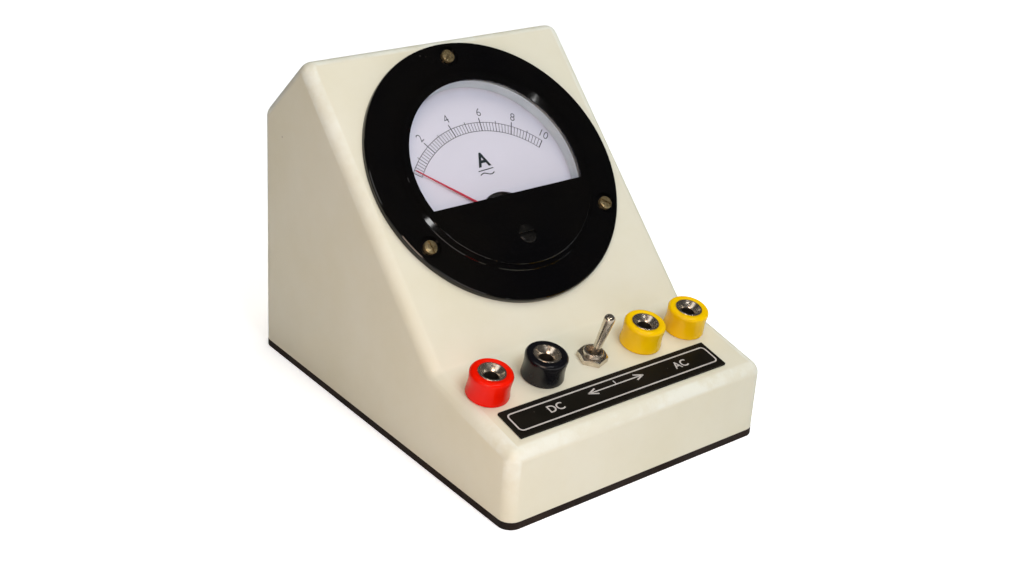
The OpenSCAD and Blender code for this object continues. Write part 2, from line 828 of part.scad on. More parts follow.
module dial_plate() {
    color([0.84, 0.83, 0.88]) on_slope() difference() {
        disc(barrel_in_r - hole_gap, dial_bottom, -dial_depth);
        translate([0, -pivot_drop, 0]) {
            disc(dial_opening_r, dial_bottom - cut, -dial_depth + cut);
            each_side(pillar_x) disc(pillar_r + 0.8, dial_bottom - cut, -dial_depth + cut);
        }
        translate([0, -dial_screw_drop, 0]) each_side(dial_screw_x)
            disc(dial_screw_r + hole_gap, dial_bottom - cut, -dial_depth + cut);
    }
}

module dial_screws() {
    color("gold") on_slope() translate([0, -dial_screw_drop, 0]) each_side(dial_screw_x)
        slotted_screw(dial_screw_head_r, dial_screw_head_h, dial_screw_r - slip, dial_screw_l,
                      -dial_depth);
}

// A cheese-head screw: its head stands on a seat, with a slot across it
module slotted_screw(head_r, head_t, shank_r, length, seat) {
    difference() {
        revolve([
            [0, seat - length], [shank_r, seat - length], [shank_r, seat], [head_r, seat],
            [head_r, seat + 0.7 * head_t], [head_r - 0.3 * head_t, seat + head_t],
            [0, seat + head_t]
        ]);
        block([2 * head_r + cut, 0.3 * head_r, 0], seat + 0.5 * head_t, seat + head_t + cut);
    }
}

// Two pins beside the pointer's path, one past each end of the scale
module pointer_stops() {
    color("silver") on_pivot() for (side = [-1, 1])
        rotate(90 + side * stop_angle) translate([stop_ring_r, 0, 0])
            disc(stop_r, -dial_depth, pointer_top + 0.6);
}

module meter_screws() {
    color("silver") each_meter_screw()
        slotted_screw(meter_screw_head_r, meter_screw_head_h, meter_screw_r, meter_screw_l,
                      screw_seat);
}

module meter_washers() {
    color("silver") each_meter_screw()
        ring(meter_nut_af / 2 + 1, meter_screw_r + hole_gap, -wall, -wall - washer_t);
}

module meter_nuts() {
    color("silver") each_meter_screw()
        hex(meter_nut_af, meter_screw_r + slip, -wall - washer_t, -wall - washer_t - meter_nut_t);
}

// The slotted head in the cover, its collar behind it and its eccentric pin
module zero_adjuster() {
    color([0.3, 0.3, 0.3]) on_slope() translate([0, -adjuster_drop, 0]) difference() {
        union() {
            revolve([
                [0, collar_bottom], [collar_r, collar_bottom],
                [collar_r, collar_bottom + collar_t], [adjuster_r, collar_bottom + collar_t],
                [adjuster_r, lip_top], [adjuster_r - 0.4, lip_top + 0.3], [0, lip_top + 0.3]
            ]);
            translate([0, adjuster_throw, 0])
                disc(eccentric_r, arm_top - arm_t - 0.2, collar_bottom + 0.2);
        }
        block([2 * adjuster_r + cut, 0.9, 0], lip_top - 0.7, lip_top + cut);
    }
}

// The forked arm that the eccentric pin swings about the front jewel screw
module zero_arm() {
    fork_end = eccentric_drop + 2;
    color("silver") on_pivot() difference() {
        union() {
            disc(jewel_r + 1, bridge_top, arm_top);
            translate([0, -fork_end / 2, 0])
                block([2 * eccentric_r + 1.7, fork_end, 0], bridge_top, arm_top);
        }
        disc(jewel_r + slip, bridge_top - cut, arm_top + cut);
        translate([0, -eccentric_drop - 0.6, 0])
            block([2 * (eccentric_r + fork_gap), 3.6, 0], bridge_top - cut, arm_top + cut);
    }
}

// ---- movement -----------------------------------------------------------------------------

module yoke_ring() {
    color("dimgray") on_pivot() ring(yoke_r, yoke_bore_r, yoke_bottom, yoke_top);
}

module magnet_core() {
    chamfer = 0.5;
    color("gray") on_pivot() revolve([
        [0, core_bottom], [core_r - chamfer, core_bottom], [core_r, core_bottom + chamfer],
        [core_r, core_top - chamfer], [core_r - chamfer, core_top], [0, core_top]
    ]);
}

// Brass spacers that hold the core in the yoke, clear of the coil's swing
module core_spacers() {
    color("gold") on_pivot() for (turn = [0, 180]) rotate(turn) intersection() {
        ring(yoke_bore_r, core_r, core_bottom + spacer_end, core_top - spacer_end);
        translate([0, yoke_bore_r, 0])
            block([spacer_w, 2 * yoke_bore_r, 0], core_bottom, core_top);
    }
}

// The cast bar behind the yoke, with two legs that carry the yoke ring
module movement_frame() {
    color("lightgray") on_pivot() difference() {
        union() {
            block([2 * frame_screw_x, frame_bar_w, 0], frame_bottom, frame_top);
            disc(0.75 * frame_bar_w, frame_bottom, frame_top);
            each_side(frame_screw_x) disc(frame_eye_r, frame_bottom, frame_top);
            each_side((yoke_r + yoke_bore_r) / 2) disc(frame_leg_r, frame_top - 0.5, yoke_bottom);
        }
        disc(jewel_r, frame_bottom - cut, frame_top + cut);
        each_side(frame_screw_x)
            disc(frame_screw_r + hole_gap, frame_bottom - cut, frame_top + cut);
    }
}

module frame_screws() {
    color("silver") on_pivot() each_side(frame_screw_x)
        slotted_screw(frame_screw_head_r, frame_screw_head_h, frame_screw_r, frame_screw_l,
                      frame_top);
}

// The bar that carries the front jewel, on two legs that stand on the yoke ring
module front_bridge() {
    color("gold") on_pivot() difference() {
        union() {
            block([2 * pillar_x, bridge_w, 0], bridge_z, bridge_top);
            disc(bridge_eye_r, bridge_z, bridge_top);
            each_side(pillar_x) {
                disc(0.625 * bridge_w, bridge_z, bridge_top);
                disc(pillar_r, yoke_top, bridge_z + 0.2);
            }
        }
        disc(jewel_r, bridge_z - cut, bridge_top + cut);
    }
}

// Front and rear jewel screws, each with a cup for a pivot's point
module jewel_screws() {
    color("gold") on_pivot() {
        difference() {
            disc(jewel_r, jewel_bottom, jewel_top);
            pivot_cup(jewel_bottom, 1);
            block([2 * jewel_r + cut, 0.4, 0], jewel_top - 0.3, jewel_top + cut);
        }
        difference() {
            disc(jewel_r, rear_jewel_bottom, rear_jewel_top);
            pivot_cup(rear_jewel_top, -1);
            block([2 * jewel_r + cut, 0.4, 0], rear_jewel_bottom - cut, rear_jewel_bottom + 0.3);
        }
    }
}

module pivot_cup(z, up) {
    translate([0, 0, z]) mirror([0, 0, up > 0 ? 0 : 1]) translate([0, 0, -0.01])
        cylinder(r1 = staff_r + 0.2, r2 = 0.1, h = 0.35);
}

// Children turn with the coil: upright at mid scale, turned to the pointer's place of rest
module on_coil() {
    on_pivot() rotate(pointer_rest) children();
}

// A rectangular loop round the core, standing on its edge
module loop(inset, build) {
    top = coil_out_top - inset;
    bottom = coil_out_bottom + inset;
    difference() {
        block([coil_w - 2 * inset, coil_d, 0], bottom, top);
        block([coil_w - 2 * inset - 2 * build, coil_d + 2 * cut, 0], bottom + build, top - build);
    }
}

module coil_former() {
    tip = 0.4;
    color("lightgray") on_coil() union() {
        loop(winding_t, former_t);
        revolve([
            [0, coil_out_top - winding_t - 0.1], [0.9, coil_out_top - winding_t - 0.1],
            [0.9, pointer_top], [staff_r, pointer_top], [staff_r, jewel_bottom - 0.1],
            [0.05, jewel_bottom - 0.1 + tip - 0.2], [0, jewel_bottom + 0.15]
        ]);
        revolve([
            [0, coil_out_bottom + winding_t + 0.1], [0.9, coil_out_bottom + winding_t + 0.1],
            [0.9, coil_out_bottom - 0.3], [staff_r, coil_out_bottom - 0.3],
            [staff_r, rear_jewel_top + 0.1], [0.05, rear_jewel_top - 0.1],
            [0, rear_jewel_top - 0.15]
        ]);
    }
}

module coil_winding() {
    color([0.72, 0.35, 0.15]) on_coil() difference() {
        loop(0, winding_t);
        disc(0.9 + slip, coil_out_bottom - cut, coil_out_top + cut);
    }
}

// The pointer's blade and its three short arms for the balance weights
module pointer() {
    color("crimson") on_coil() difference() {
        union() {
            disc(hub_r, coil_out_top, pointer_top);
            translate([0, 0, pointer_z]) linear_extrude(pointer_t) {
                polygon([[-0.4, 0], [0.4, 0], [0.2, pointer_l], [-0.2, pointer_l]]);
                translate([-0.4, -tail_l]) square([0.8, tail_l]);
                translate([-side_l, -0.4]) square([2 * side_l, 0.8]);
            }
        }
        disc(0.9 + slip, coil_out_top - cut, pointer_top + cut);
    }
}

module balance_weights() {
    color("gold") on_coil() {
        translate([0, -tail_l + 1, 0]) disc(tail_weight_r, pointer_z, pointer_z - 1);
        each_side(side_l - 0.8) disc(0.8, pointer_z, pointer_z - 0.6);
    }
}

// A flat spiral strip, its inner end close round the staff and its outer end at the stud
module hairspring(z) {
    per_turn = 16;
    strip = 0.16;
    inner = staff_r + 0.1 + strip;
    outer = 5;
    count = spring_turns * per_turn;
    function spiral(r_off) = [for (i = [0:count])
        let (r = inner + (outer - inner) * i / count + r_off, a = 360 * i / per_turn)
            r * [cos(a), sin(a)]];
    back = spiral(-strip);
    on_pivot() translate([0, 0, z]) linear_extrude(spring_h)
        polygon(concat(spiral(0), [for (i = [count:-1:0]) back[i]]));
}

module front_hairspring() { color("gold") hairspring(front_spring_z); }
module rear_hairspring() { color("gold") hairspring(rear_spring_z - spring_h); }

// ---- terminals and board ------------------------------------------------------------------

module each_stud() {
    on_slope() translate([0, stud_y, 0]) each_side(stud_x) children();
}

module terminal_studs() {
    color("gold") each_stud() {
        disc(stud_r + 2, barrel_floor, barrel_floor + 1.5);
        disc(stud_r, stud_end, barrel_floor + 0.5);
    }
}

module stud_nuts() {
    color("gold") each_stud() {
        hex(stud_nut_af, stud_r + slip, -barrel_depth, board_front);
        hex(stud_nut_af, stud_r + slip, board_back, board_back - stud_nut_t);
    }
}

module tag_board() {
    color([0.55, 0.38, 0.2]) difference() {
        on_slope() block([board_w, board_h, 0], board_back, board_front);
        each_stud() disc(stud_r + hole_gap, board_back - cut, board_front + cut);
    }
}

module transformer_core() {
    color("slategray") on_slope() translate([0, core_y, board_back]) difference() {
        block(core_block, -core_block[2], 0);
        translate([0, 0, -(core_block[2] - core_window[2]) / 2])
            block([core_window[0], core_block[1] + 2 * cut, 0], -core_window[2], 0);
    }
}

// The winding on the core's far limb
module transformer_winding() {
    limb_t = (core_block[2] - core_window[2]) / 2;
    limb_z = -core_block[2] + limb_t / 2;
    build = 2.4;
    length = core_window[0] - 2 * bobbin_gap;
    color([0.8, 0.65, 0.2]) on_slope() translate([0, core_y, board_back + limb_z]) difference() {
        block([length, core_block[1] + 2 * build, 0], -limb_t / 2 - build, limb_t / 2 + build);
        block([length + 2 * cut, core_block[1] + 2 * bobbin_gap, 0],
              -limb_t / 2 - bobbin_gap, limb_t / 2 + bobbin_gap);
    }
}

module bridge_rectifier() {
    color([0.15, 0.15, 0.15]) on_slope() translate([0, rectifier_y, 0])
        disc(rectifier_r, board_back, board_back - rectifier_h);
}

// Two wire-ended resistors, each with its wires bent down to the board
module board_resistors() {
    axis_z = board_back - resistor_r - resistor_gap;
    span = resistor_l / 2 + wire_end_l;
    color("tan") on_slope() each_side(resistor_x) {
        translate([0, 0, axis_z]) rotate([90, 0, 0]) {
            cylinder(r = resistor_r, h = resistor_l, center = true);
            cylinder(r = wire_r, h = 2 * span, center = true);
        }
        for (end = [-1, 1]) translate([0, end * span, 0])
            block([leg_w, leg_w, 0], board_back, axis_z - leg_w / 2);
    }
}

// ---- leads --------------------------------------------------------------------------------

function unit(v) = v / norm(v);

// A point on a smooth curve through four points, between the middle two
function between(p, t) = 0.5 * (2 * p[1] + (p[2] - p[0]) * t
    + (2 * p[0] - 5 * p[1] + 4 * p[2] - p[3]) * t * t
    + (3 * p[1] - p[0] - 3 * p[2] + p[3]) * t * t * t);

// A round tube swept along a path, each ring square to the path
module tube(path, r) {
    sides = 8;
    last = len(path) - 1;
    rings = [for (i = [0:last])
        let (along = unit(path[min(i + 1, last)] - path[max(i - 1, 0)]),
             across = unit(cross(along, [1, 0, 0])),
             up = cross(along, across))
            for (k = [0:sides - 1])
                path[i] + r * (cos(360 * k / sides) * across + sin(360 * k / sides) * up)];
    faces = concat(
        [[for (k = [0:sides - 1]) k]],
        [for (i = [0:last - 1], k = [0:sides - 1]) let (a = i * sides, n = (k + 1) % sides)
            [a + k, a + sides + k, a + sides + n, a + n]],
        [[for (k = [sides - 1:-1:0]) last * sides + k]]
    );
    polyhedron(rings, faces);
}

// From below a pin or terminal, along the floor and up to a pad on the board
function lead_route(start_x, start_z, pad) = let (
    foot = shelf_point(start_x, row_u, start_z),
    dip = shelf_point(start_x, row_u, start_z - lead_drop),
    head = slope_point(pad, pad_y, board_back),
    under = slope_point(pad, pad_y, board_back - lead_rise),
    rise = slope_point(pad, pad_y, board_back - lead_rise - lead_reach),
    near = [start_x, foot[1] + lead_bend, lead_floor],
    far = [rise[0], rise[1] - lead_bend, lead_floor + lead_lift],
    middle = [(near[0] + far[0]) / 2, (near[1] + far[1]) / 2, lead_floor]
) [foot, dip, near, middle, far, rise, under, head];

module lead(start_x, start_z, pad, r) {
    route = lead_route(start_x, start_z, pad);
    last = len(route) - 1;
    tube(concat(
        [route[0], route[1]],
        [for (i = [1:last - 2], t = [0.5, 1])
            between([route[i - 1], route[i], route[i + 1], route[i + 2]], t)],
        [route[last]]
    ), r);
}

module red_lead() {
    color("red") lead(red_x, pin_end, pad_xs[0], thin_lead_r);
}

module black_lead() {
    color([0.1, 0.1, 0.1]) lead(black_x, pin_end, pad_xs[1], thin_lead_r);
}

module yellow_leads() {
    color("gold") {
        lead(left_yellow_x, pin_end, pad_xs[5], thick_lead_r);
        lead(right_yellow_x, pin_end, pad_xs[6], thick_lead_r);
    }
}

module switch_leads() {
    color("blue") for (i = [-1, 0, 1])
        lead(switch_x + i * switch_terminal_gap, switch_terminal_z, pad_xs[3 + i], thin_lead_r);
}

case_shell();
base_plate();
base_screws();
label_plate();
red_socket_head();
black_socket_head();
left_yellow_socket_head();
right_yellow_socket_head();
red_socket_sleeve();
black_socket_sleeve();
left_yellow_socket_sleeve();
right_yellow_socket_sleeve();
socket_insulators();
socket_nuts();
dc_shunt();
switch_bushing();
switch_body();
switch_terminals();
switch_nut();
switch_lock_washer();
switch_lever();
meter_housing();
meter_bezel();
meter_lens();
dial_surround();
dial_plate();
dial_screws();
pointer_stops();
meter_screws();
meter_washers();
meter_nuts();
zero_adjuster();
zero_arm();
yoke_ring();
magnet_core();
core_spacers();
movement_frame();
frame_screws();
front_bridge();
jewel_screws();
coil_former();
coil_winding();
pointer();
balance_weights();
front_hairspring();
rear_hairspring();
terminal_studs();
stud_nuts();
tag_board();
transformer_core();
transformer_winding();
bridge_rectifier();
board_resistors();
red_lead();
black_lead();
yellow_leads();
switch_leads();
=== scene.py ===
# Dresses the bench ammeter: an ivory moulded case with a sloping front, a round panel meter set in it,
# and four insulated sockets with a toggle switch above a marked strip. Sizes are in millimetres, but for
# those of the stage and of the finishes, which are in metres.
import json
import math

import bmesh
import bpy
from mathutils import Matrix, Vector

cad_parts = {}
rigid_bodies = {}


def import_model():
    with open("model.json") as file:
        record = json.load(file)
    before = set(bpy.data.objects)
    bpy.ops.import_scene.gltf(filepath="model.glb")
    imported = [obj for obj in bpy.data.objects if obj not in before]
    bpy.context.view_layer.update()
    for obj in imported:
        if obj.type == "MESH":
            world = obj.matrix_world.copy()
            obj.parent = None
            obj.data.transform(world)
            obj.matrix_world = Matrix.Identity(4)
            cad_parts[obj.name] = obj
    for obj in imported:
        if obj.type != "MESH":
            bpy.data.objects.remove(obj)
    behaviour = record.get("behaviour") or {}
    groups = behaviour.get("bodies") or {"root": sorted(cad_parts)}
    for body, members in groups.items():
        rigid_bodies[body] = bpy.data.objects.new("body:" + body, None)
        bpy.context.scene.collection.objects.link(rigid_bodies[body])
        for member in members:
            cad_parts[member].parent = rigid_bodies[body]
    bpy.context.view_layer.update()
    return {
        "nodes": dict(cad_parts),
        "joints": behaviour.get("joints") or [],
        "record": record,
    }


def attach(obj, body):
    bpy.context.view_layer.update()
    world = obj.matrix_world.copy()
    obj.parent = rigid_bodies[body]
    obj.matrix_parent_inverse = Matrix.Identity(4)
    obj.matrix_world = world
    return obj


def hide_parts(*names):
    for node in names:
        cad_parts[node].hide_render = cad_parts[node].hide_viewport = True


toMetres, toMillimetres = 0.001, 1000

for leftover in list(bpy.data.objects):  # a new file opens with a cube, a lamp and a camera
    bpy.data.objects.remove(leftover)
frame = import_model()
jointOf = {joint["name"]: joint for joint in frame["joints"]}
mountOf = {mount["name"]: mount for mount in frame["record"]["mounts"]}


# The two panels' frames: X to the right, Y up the panel, Z out of it
def faceFrame(origin, normal):
    out = Vector(normal).normalized()
    right = Vector((1, 0, 0))
    place = Matrix((right, out.cross(right), out)).transposed().to_4x4()
    place.translation = origin
    return place


def shifted(place, x=0.0, y=0.0, z=0.0):
    return place @ Matrix.Translation(Vector((x, y, z)) * toMetres)


def spotsOf(node, place):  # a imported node's vertices, seen from a frame
    back = place.inverted()
    return [(back @ v.co) * toMillimetres for v in frame["nodes"][node].data.vertices]


def corners(spots):  # of the box round them, lowest first
    return [Vector(map(pick, zip(*spots))) for pick in (min, max)]


def reach(node, place):
    return corners(spotsOf(node, place))


def fromAxis(spot):
    return math.hypot(spot.x, spot.y)


def girth(node, place, height, slack=0.02):  # a turned node's largest radius at a height
    return max(fromAxis(spot) for spot in spotsOf(node, place) if abs(spot.z - height) < slack)


leverPivot = Vector(jointOf["lever_throw"]["pos_m"])
shelfOut = Vector(mountOf["red_plug_bore"]["axis"])
slopeOut = -Vector(jointOf["pointer_swing"]["axis"])
switchFrame = faceFrame(leverPivot, shelfOut)
switchFrame = shifted(switchFrame, z=reach("switch_nut", switchFrame)[0].z)  # the nut stands on the shelf
pivotFrame = faceFrame(Vector(jointOf["pointer_swing"]["pos_m"]), slopeOut)
flangeLow, flangeHigh = reach("meter_housing", pivotFrame)
meterFrame = shifted(pivotFrame, y=(flangeLow.y + flangeHigh.y) / 2)
socketFrames = {}
for colour in ("red", "black", "left_yellow", "right_yellow"):
    bore = Vector(mountOf[colour + "_plug_bore"]["pos_m"])
    onPanel = bore + shelfOut * shelfOut.dot(switchFrame.translation - bore)
    socketFrames[colour] = faceFrame(onPanel, shelfOut)
print("frames ready, meter centre", [round(c * toMillimetres, 2) for c in meterFrame.translation])


# Shader nodes
def addNode(tree, kind, settings=None, feeds=None):
    made = tree.nodes.new("ShaderNode" + kind)
    for name, value in (settings or {}).items():
        if isinstance(name, int) or name in made.inputs:
            made.inputs[name].default_value = value
        else:
            setattr(made, name, value)
    for name, source in (feeds or {}).items():
        tree.links.new(source, made.inputs[name])
    return made


def newFinish(name, sockets):
    finish = bpy.data.materials.new(name)
    finish.use_nodes = True
    skin = finish.node_tree.nodes["Principled BSDF"]
    for socket, value in sockets.items():
        skin.inputs[socket].default_value = value
    return finish, finish.node_tree, skin


def rgba(colour):
    return (*colour, 1.0)


def noise(tree, where, scale, detail, rough=0.5):
    return addNode(tree, "TexNoise", {"Scale": scale, "Detail": detail, "Roughness": rough},
                   {"Vector": where}).outputs["Fac"]


def ramp(tree, value, low, high, start=0.3, end=0.7):
    made = addNode(tree, "MapRange", {"From Min": start, "From Max": end, "To Min": low,
                                      "To Max": high, "clamp": True}, {"Value": value})
    return made.outputs["Result"]


def times(tree, first, second):  # the second may be a plain number
    made = addNode(tree, "Math", {"operation": "MULTIPLY"}, {0: first})
    if isinstance(second, (int, float)):
        made.inputs[1].default_value = second
    else:
        tree.links.new(second, made.inputs[1])
    return made.outputs[0]


def mixed(tree, share, first, second):  # each is a colour or another node's output
    made = addNode(tree, "MixRGB", {}, {"Fac": share})
    for socket, value in (("Color1", first), ("Color2", second)):
        if isinstance(value, tuple):
            made.inputs[socket].default_value = rgba(value)
        else:
            tree.links.new(value, made.inputs[socket])
    return made.outputs["Color"]


def grainOver(tree, skin, height, strength, deep):
    bump = addNode(tree, "Bump", {"Strength": strength, "Distance": deep}, {"Height": height})
    tree.links.new(bump.outputs["Normal"], skin.inputs["Normal"])


# What all the plastics share: detail and roughness of each noise, and the band of it that a blend spans
mouldedWay = {
    "cloud": (4, 0.6), "cloudBand": (0.35, 0.68),
    "speckSpread": 1.6, "flockScale": 0.21, "flockDetail": 3, "flockBand": (0.6, 0.63),
    "edgeBand": (0.2, 1), "patch": (4, 0.7), "patchLeast": 0.25, "patchBand": (0.4, 0.6),
    "glossDetail": 3, "grainDetail": 2, "grainDeep": 0.0001}


def specked(tree, where, colour, look, way):  # dust specks, in flocks
    cell = addNode(tree, "TexVoronoi", {"Scale": look["speckScale"], "Randomness": 1.0}, {"Vector": where})
    small = ramp(tree, cell.outputs["Distance"], 1, 0, look["speckSize"],
                 look["speckSize"] * way["speckSpread"])
    flock = noise(tree, where, look["speckScale"] * way["flockScale"], way["flockDetail"])
    chosen = times(tree, small, ramp(tree, flock, 0, 1, *way["flockBand"]))
    return mixed(tree, times(tree, chosen, look["speckShare"]), colour, look["speck"])


def edgeWearAndSheen(tree, where, colour, look, way):  # rounded edges lightened, as wear and as a painted highlight, broken up by patches
    wearAndSheen = addNode(tree, "Attribute", {"attribute_name": "wearAndSheen"}).outputs["Fac"]
    edge = ramp(tree, wearAndSheen, 0, look["edgeWearAndSheenShare"], *way["edgeBand"])
    patch = ramp(tree, noise(tree, where, look["edgeWearAndSheenScale"], *way["patch"]), way["patchLeast"], 1,
                 *way["patchBand"])
    return mixed(tree, times(tree, edge, patch), colour, look["edgeWearAndSheen"])


# Moulded plastic: a cloudy colour, a few dust specks, uneven gloss and a fine grain; where asked, rounded
# edges lightened as wear and as a painted highlight
def plastic(name, look, way=mouldedWay):
    finish, tree, skin = newFinish(name, {"IOR": look.get("ior", 1.5)})
    where = addNode(tree, "TexCoord").outputs["Object"]
    cloud = noise(tree, where, look["cloudScale"], *way["cloud"])
    colour = mixed(tree, ramp(tree, cloud, 0, 1, *way["cloudBand"]), look["colour"], look["cloud"])
    if "speck" in look:
        colour = specked(tree, where, colour, look, way)
    if "edgeWearAndSheen" in look:
        colour = edgeWearAndSheen(tree, where, colour, look, way)
    tree.links.new(colour, skin.inputs["Base Color"])
    gloss = noise(tree, where, look["glossScale"], way["glossDetail"])
    tree.links.new(ramp(tree, gloss, *look["rough"]), skin.inputs["Roughness"])
    grainOver(tree, skin, noise(tree, where, look["grainScale"], way["grainDetail"]), look["grain"],
              way["grainDeep"])
    return finish


metalWay = {
    "tarnish": (5, 0.65), "tarnishBand": (0.4, 0.75), "glossDetail": 4, "marks": (4, 0.7),
    "markDeep": 0.00005}


# Plated or bare metal: tarnish in patches and fine tool marks
def metal(name, look, way=metalWay):
    finish, tree, skin = newFinish(name, {"Metallic": look.get("metallic", 1.0)})
    where = addNode(tree, "TexCoord").outputs["Object"]
    tarnish = noise(tree, where, look["tarnishScale"], *way["tarnish"])
    colour = mixed(tree, ramp(tree, tarnish, 0, 1, *way["tarnishBand"]), look["colour"], look["tarnish"])
    tree.links.new(colour, skin.inputs["Base Color"])
    gloss = noise(tree, where, look["glossScale"], way["glossDetail"])
    tree.links.new(ramp(tree, gloss, *look["rough"]), skin.inputs["Roughness"])
    grainOver(tree, skin, noise(tree, where, look["markScale"], *way["marks"]), look["marks"],
              way["markDeep"])
    return finish


# The finishes: "rough" holds the least and the greatest roughness, and a scale is for one metre
ivory = plastic("ivoryMoulding", {
    "colour": (0.80, 0.775, 0.64), "cloud": (0.765, 0.73, 0.57), "cloudScale": 32,
    "speck": (0.33, 0.27, 0.2), "speckScale": 160, "speckSize": 0.045, "speckShare": 0.6,
    # lighter rounded edges: wear, and a painted highlight where the edges catch the light
    "edgeWearAndSheen": (0.88, 0.89, 0.8), "edgeWearAndSheenShare": 0.85, "edgeWearAndSheenScale": 90,
    "glossScale": 40, "rough": (0.34, 0.46), "grainScale": 700, "grain": 0.12})
glossBlack = plastic("glossBlackMoulding", {
    "colour": (0.003, 0.003, 0.0035), "cloud": (0.005, 0.0045, 0.004), "cloudScale": 30,
    "speck": (0.12, 0.11, 0.1), "speckScale": 420, "speckSize": 0.05, "speckShare": 0.5,
    "glossScale": 60, "rough": (0.03, 0.08), "ior": 1.45, "grainScale": 300, "grain": 0.05})
stripBlack = plastic("stripBlack", {
    "ior": 1.19, "colour": (0.0075, 0.0068, 0.0052), "cloud": (0.012, 0.0105, 0.008), "cloudScale": 60,
    "speck": (0.2, 0.18, 0.16), "speckScale": 500, "speckSize": 0.06, "speckShare": 0.35,
    "glossScale": 90, "rough": (0.4, 0.55), "grainScale": 1500, "grain": 0.2})
baseBrown = plastic("baseSheetBrown", {
    "ior": 1.3, "colour": (0.008, 0.0035, 0.0022), "cloud": (0.02, 0.01, 0.006), "cloudScale": 90,
    "glossScale": 120, "rough": (0.55, 0.75), "grainScale": 1200, "grain": 0.35})
headGrain = {"cloudScale": 90, "glossScale": 200, "rough": (0.16, 0.26), "grainScale": 1200, "grain": 0.1}
redPlastic = plastic("redHeadPlastic", {
    **headGrain, "ior": 1.3, "colour": (0.88, 0.009, 0.0), "cloud": (0.8, 0.007, 0.0)})
yellowPlastic = plastic("yellowHeadPlastic", {
    **headGrain, "ior": 1.38, "colour": (0.98, 0.62, 0.0), "cloud": (0.93, 0.55, 0.0)})
blackPlastic = plastic("blackHeadPlastic", {
    **headGrain, "ior": 1.42, "colour": (0.004, 0.0045, 0.0065), "cloud": (0.008, 0.008, 0.01),
    "rough": (0.18, 0.3)})
blueInsulation = plastic("blueInsulation", {
    "colour": (0.03, 0.07, 0.35), "cloud": (0.025, 0.06, 0.28), "cloudScale": 150,
    "glossScale": 200, "rough": (0.35, 0.5), "grainScale": 900, "grain": 0.1})
nickel = metal("nickelPlate", {
    "colour": (0.74, 0.67, 0.57), "tarnish": (0.5, 0.43, 0.34), "tarnishScale": 260,
    "glossScale": 300, "rough": (0.18, 0.3), "markScale": 900, "marks": 0.05, "metallic": 0.9})
screwMetal = metal("wornScrewPlate", {
    "colour": (0.52, 0.41, 0.22), "tarnish": (0.17, 0.12, 0.05), "tarnishScale": 800,
    "glossScale": 700, "rough": (0.22, 0.38), "markScale": 2200, "marks": 0.3, "metallic": 0.75})
# painted shade for hollows: deep in the socket bores, where it also stands for tarnish, and on the screw
# slots' walls
boreShade = metal("paintedShadeAndTarnish", {
    "colour": (0.05, 0.04, 0.03), "tarnish": (0.02, 0.016, 0.012), "tarnishScale": 500,
    "glossScale": 700, "rough": (0.4, 0.55), "markScale": 2200, "marks": 0.3, "metallic": 0.6})
steel = metal("platedSteel", {
    "colour": (0.5, 0.5, 0.5), "tarnish": (0.3, 0.28, 0.26), "tarnishScale": 200,
    "glossScale": 300, "rough": (0.3, 0.45), "markScale": 1200, "marks": 0.3})
brass = metal("turnedBrass", {
    "colour": (0.65, 0.47, 0.18), "tarnish": (0.4, 0.26, 0.1), "tarnishScale": 300,
    "glossScale": 400, "rough": (0.22, 0.38), "markScale": 1600, "marks": 0.3})
aluminium = metal("plainAluminium", {
    "colour": (0.7, 0.7, 0.72), "tarnish": (0.55, 0.55, 0.56), "tarnishScale": 250,
    "glossScale": 400, "rough": (0.3, 0.42), "markScale": 1600, "marks": 0.3})
copper = metal("enamelledCopper", {
    "colour": (0.55, 0.22, 0.08), "tarnish": (0.38, 0.13, 0.05), "tarnishScale": 350,
    "glossScale": 400, "rough": (0.25, 0.4), "markScale": 1600, "marks": 0.4})
magnetGrey = metal("groundMagnet", {
    "colour": (0.16, 0.16, 0.17), "tarnish": (0.1, 0.09, 0.09), "tarnishScale": 300,
    "glossScale": 300, "rough": (0.4, 0.55), "markScale": 1500, "marks": 0.5})
surroundGrey = plastic("paleSurround", {
    "colour": (0.68, 0.75, 0.78), "cloud": (0.6, 0.68, 0.72), "cloudScale": 60,
    "glossScale": 90, "rough": (0.45, 0.6), "grainScale": 900, "grain": 0.1})
dialPaint = plastic("dialPaint", {
    "colour": (0.8, 0.77, 0.85), "cloud": (0.765, 0.74, 0.815), "cloudScale": 45,
    "glossScale": 90, "rough": (0.5, 0.65), "grainScale": 1500, "grain": 0.08})
redPaint = plastic("pointerRed", {
    "colour": (0.72, 0.05, 0.09), "cloud": (0.62, 0.035, 0.07), "cloudScale": 300,
    "glossScale": 300, "rough": (0.3, 0.45), "grainScale": 1500, "grain": 0.1})
adjusterBlack = plastic("adjusterBlack", {
    "ior": 1.36, "colour": (0.005, 0.005, 0.005), "cloud": (0.012, 0.011, 0.01), "cloudScale": 300,
    "glossScale": 300, "rough": (0.2, 0.32), "grainScale": 1500, "grain": 0.2})
phenolic = plastic("phenolicBoard", {
    "colour": (0.3, 0.15, 0.06), "cloud": (0.22, 0.1, 0.04), "cloudScale": 120,
    "glossScale": 120, "rough": (0.4, 0.55), "grainScale": 900, "grain": 0.2})


lensLook = {"tint": (0.9, 0.92, 0.95), "through": (0.97, 0.975, 0.985), "rough": 0.03, "ior": 1.36}


